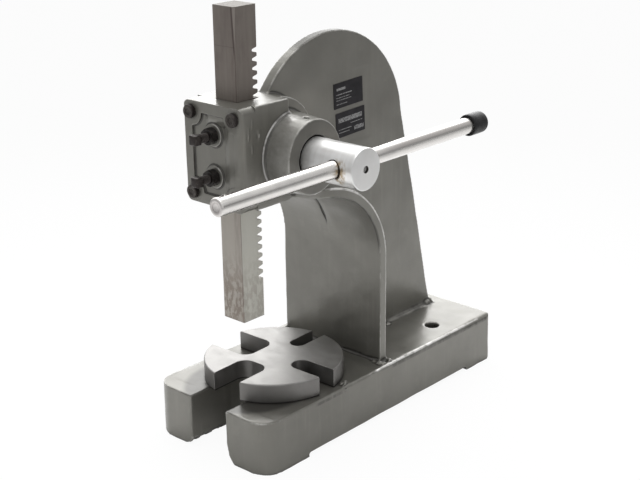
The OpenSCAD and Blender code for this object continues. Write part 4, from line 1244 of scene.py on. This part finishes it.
def make_floor():
    """Pale paper that takes the press's shadow. The camera sees it as nearly plain white."""
    half = FLOOR_HALF
    corners = [(-half, -half, 0), (half, -half, 0), (half, half, 0), (-half, half, 0)]
    obj = mesh_object("floor", corners, [(0, 1, 2, 3)])
    material = bpy.data.materials.new("floor_paper")
    material.use_nodes = True
    material.node_tree.nodes.clear()
    node = partial(add_node, material.node_tree)
    place = node("TexCoord").outputs["Object"]
    away = node("VectorMath", place, operation="LENGTH").outputs["Value"]
    fade = node("MapRange", away, *PAPER_FADE, PAPER_NEAR, PAPER_FAR, interpolation_type="SMOOTHSTEP")
    paper = node("BsdfDiffuse", fade.outputs[0])
    glow = node("Emission", (1, 1, 1, 1))
    seen = node("LightPath").outputs["Is Camera Ray"]
    share = node("Math", seen, PAPER_WHITE, operation="MULTIPLY")
    mixed = node("MixShader", share.outputs[0], paper.outputs[0], glow.outputs[0])
    node("OutputMaterial", mixed.outputs[0])
    obj.data.materials.append(material)


def area_light(name, place, target, width, height, power):
    data = bpy.data.lights.new(name, "AREA")
    data.shape, data.size, data.size_y, data.energy = "RECTANGLE", width, height, power
    obj = bpy.data.objects.new(name, data)
    obj.location = place
    obj.rotation_euler = (Vector(target) - Vector(place)).to_track_quat("-Z", "Y").to_euler()
    scene.collection.objects.link(obj)


def make_light():
    """A wide glow behind the press, a bright ceiling, a dim corner at the right, and a soft box overhead."""
    area_light("overhead", (-0.1, 0.1, 1.8), (0, 0.1, 0), 1.3, 1.3, OVERHEAD_POWER)
    world = bpy.data.worlds.new("studio")
    scene.world = world
    world.use_nodes = True
    tree = world.node_tree
    tree.nodes.remove(tree.nodes["Background"])
    node = partial(add_node, tree)

    def span(value, *ends):
        return node("MapRange", value, *ends, interpolation_type="SMOOTHSTEP").outputs[0]

    way = node("TexCoord").outputs["Generated"]

    def facing(target):
        return node("VectorMath", way, Vector(target).normalized(), operation="DOT_PRODUCT").outputs["Value"]

    glow = span(facing((-math.sin(GLOW_TURN), math.cos(GLOW_TURN), math.tan(GLOW_RISE))),
                *(math.cos(a) for a in GLOW_SPREAD), 0.0, GLOW)
    high = node("SeparateXYZ", way).outputs["Z"]
    ceiling = span(high, 0.35, 0.85, ROOM, CEILING)
    corner = node("Math", span(facing(DIM_WAY), 0.78, 0.95, 0.0, 1.0), span(high, 0.12, 0.40, DIM, 0.0),
                  operation="MULTIPLY").outputs[0]
    level = node("Math", ceiling, glow, operation="ADD").outputs[0]
    level = node("Math", level, corner, operation="SUBTRACT").outputs[0]
    room, white = node("Background", level), node("Background", (1, 1, 1, 1))
    seen = node("LightPath").outputs["Is Camera Ray"]
    mixed = node("MixShader", seen, room.outputs[0], white.outputs[0])
    tree.links.new(mixed.outputs[0], tree.nodes["World Output"].inputs[0])
    scene.view_settings.view_transform = "Standard"


make_camera()
make_floor()
make_light()
make_casting()
make_cover()
make_fasteners()
make_ram()
make_shaft()
make_handle()
dress_cad_nodes()
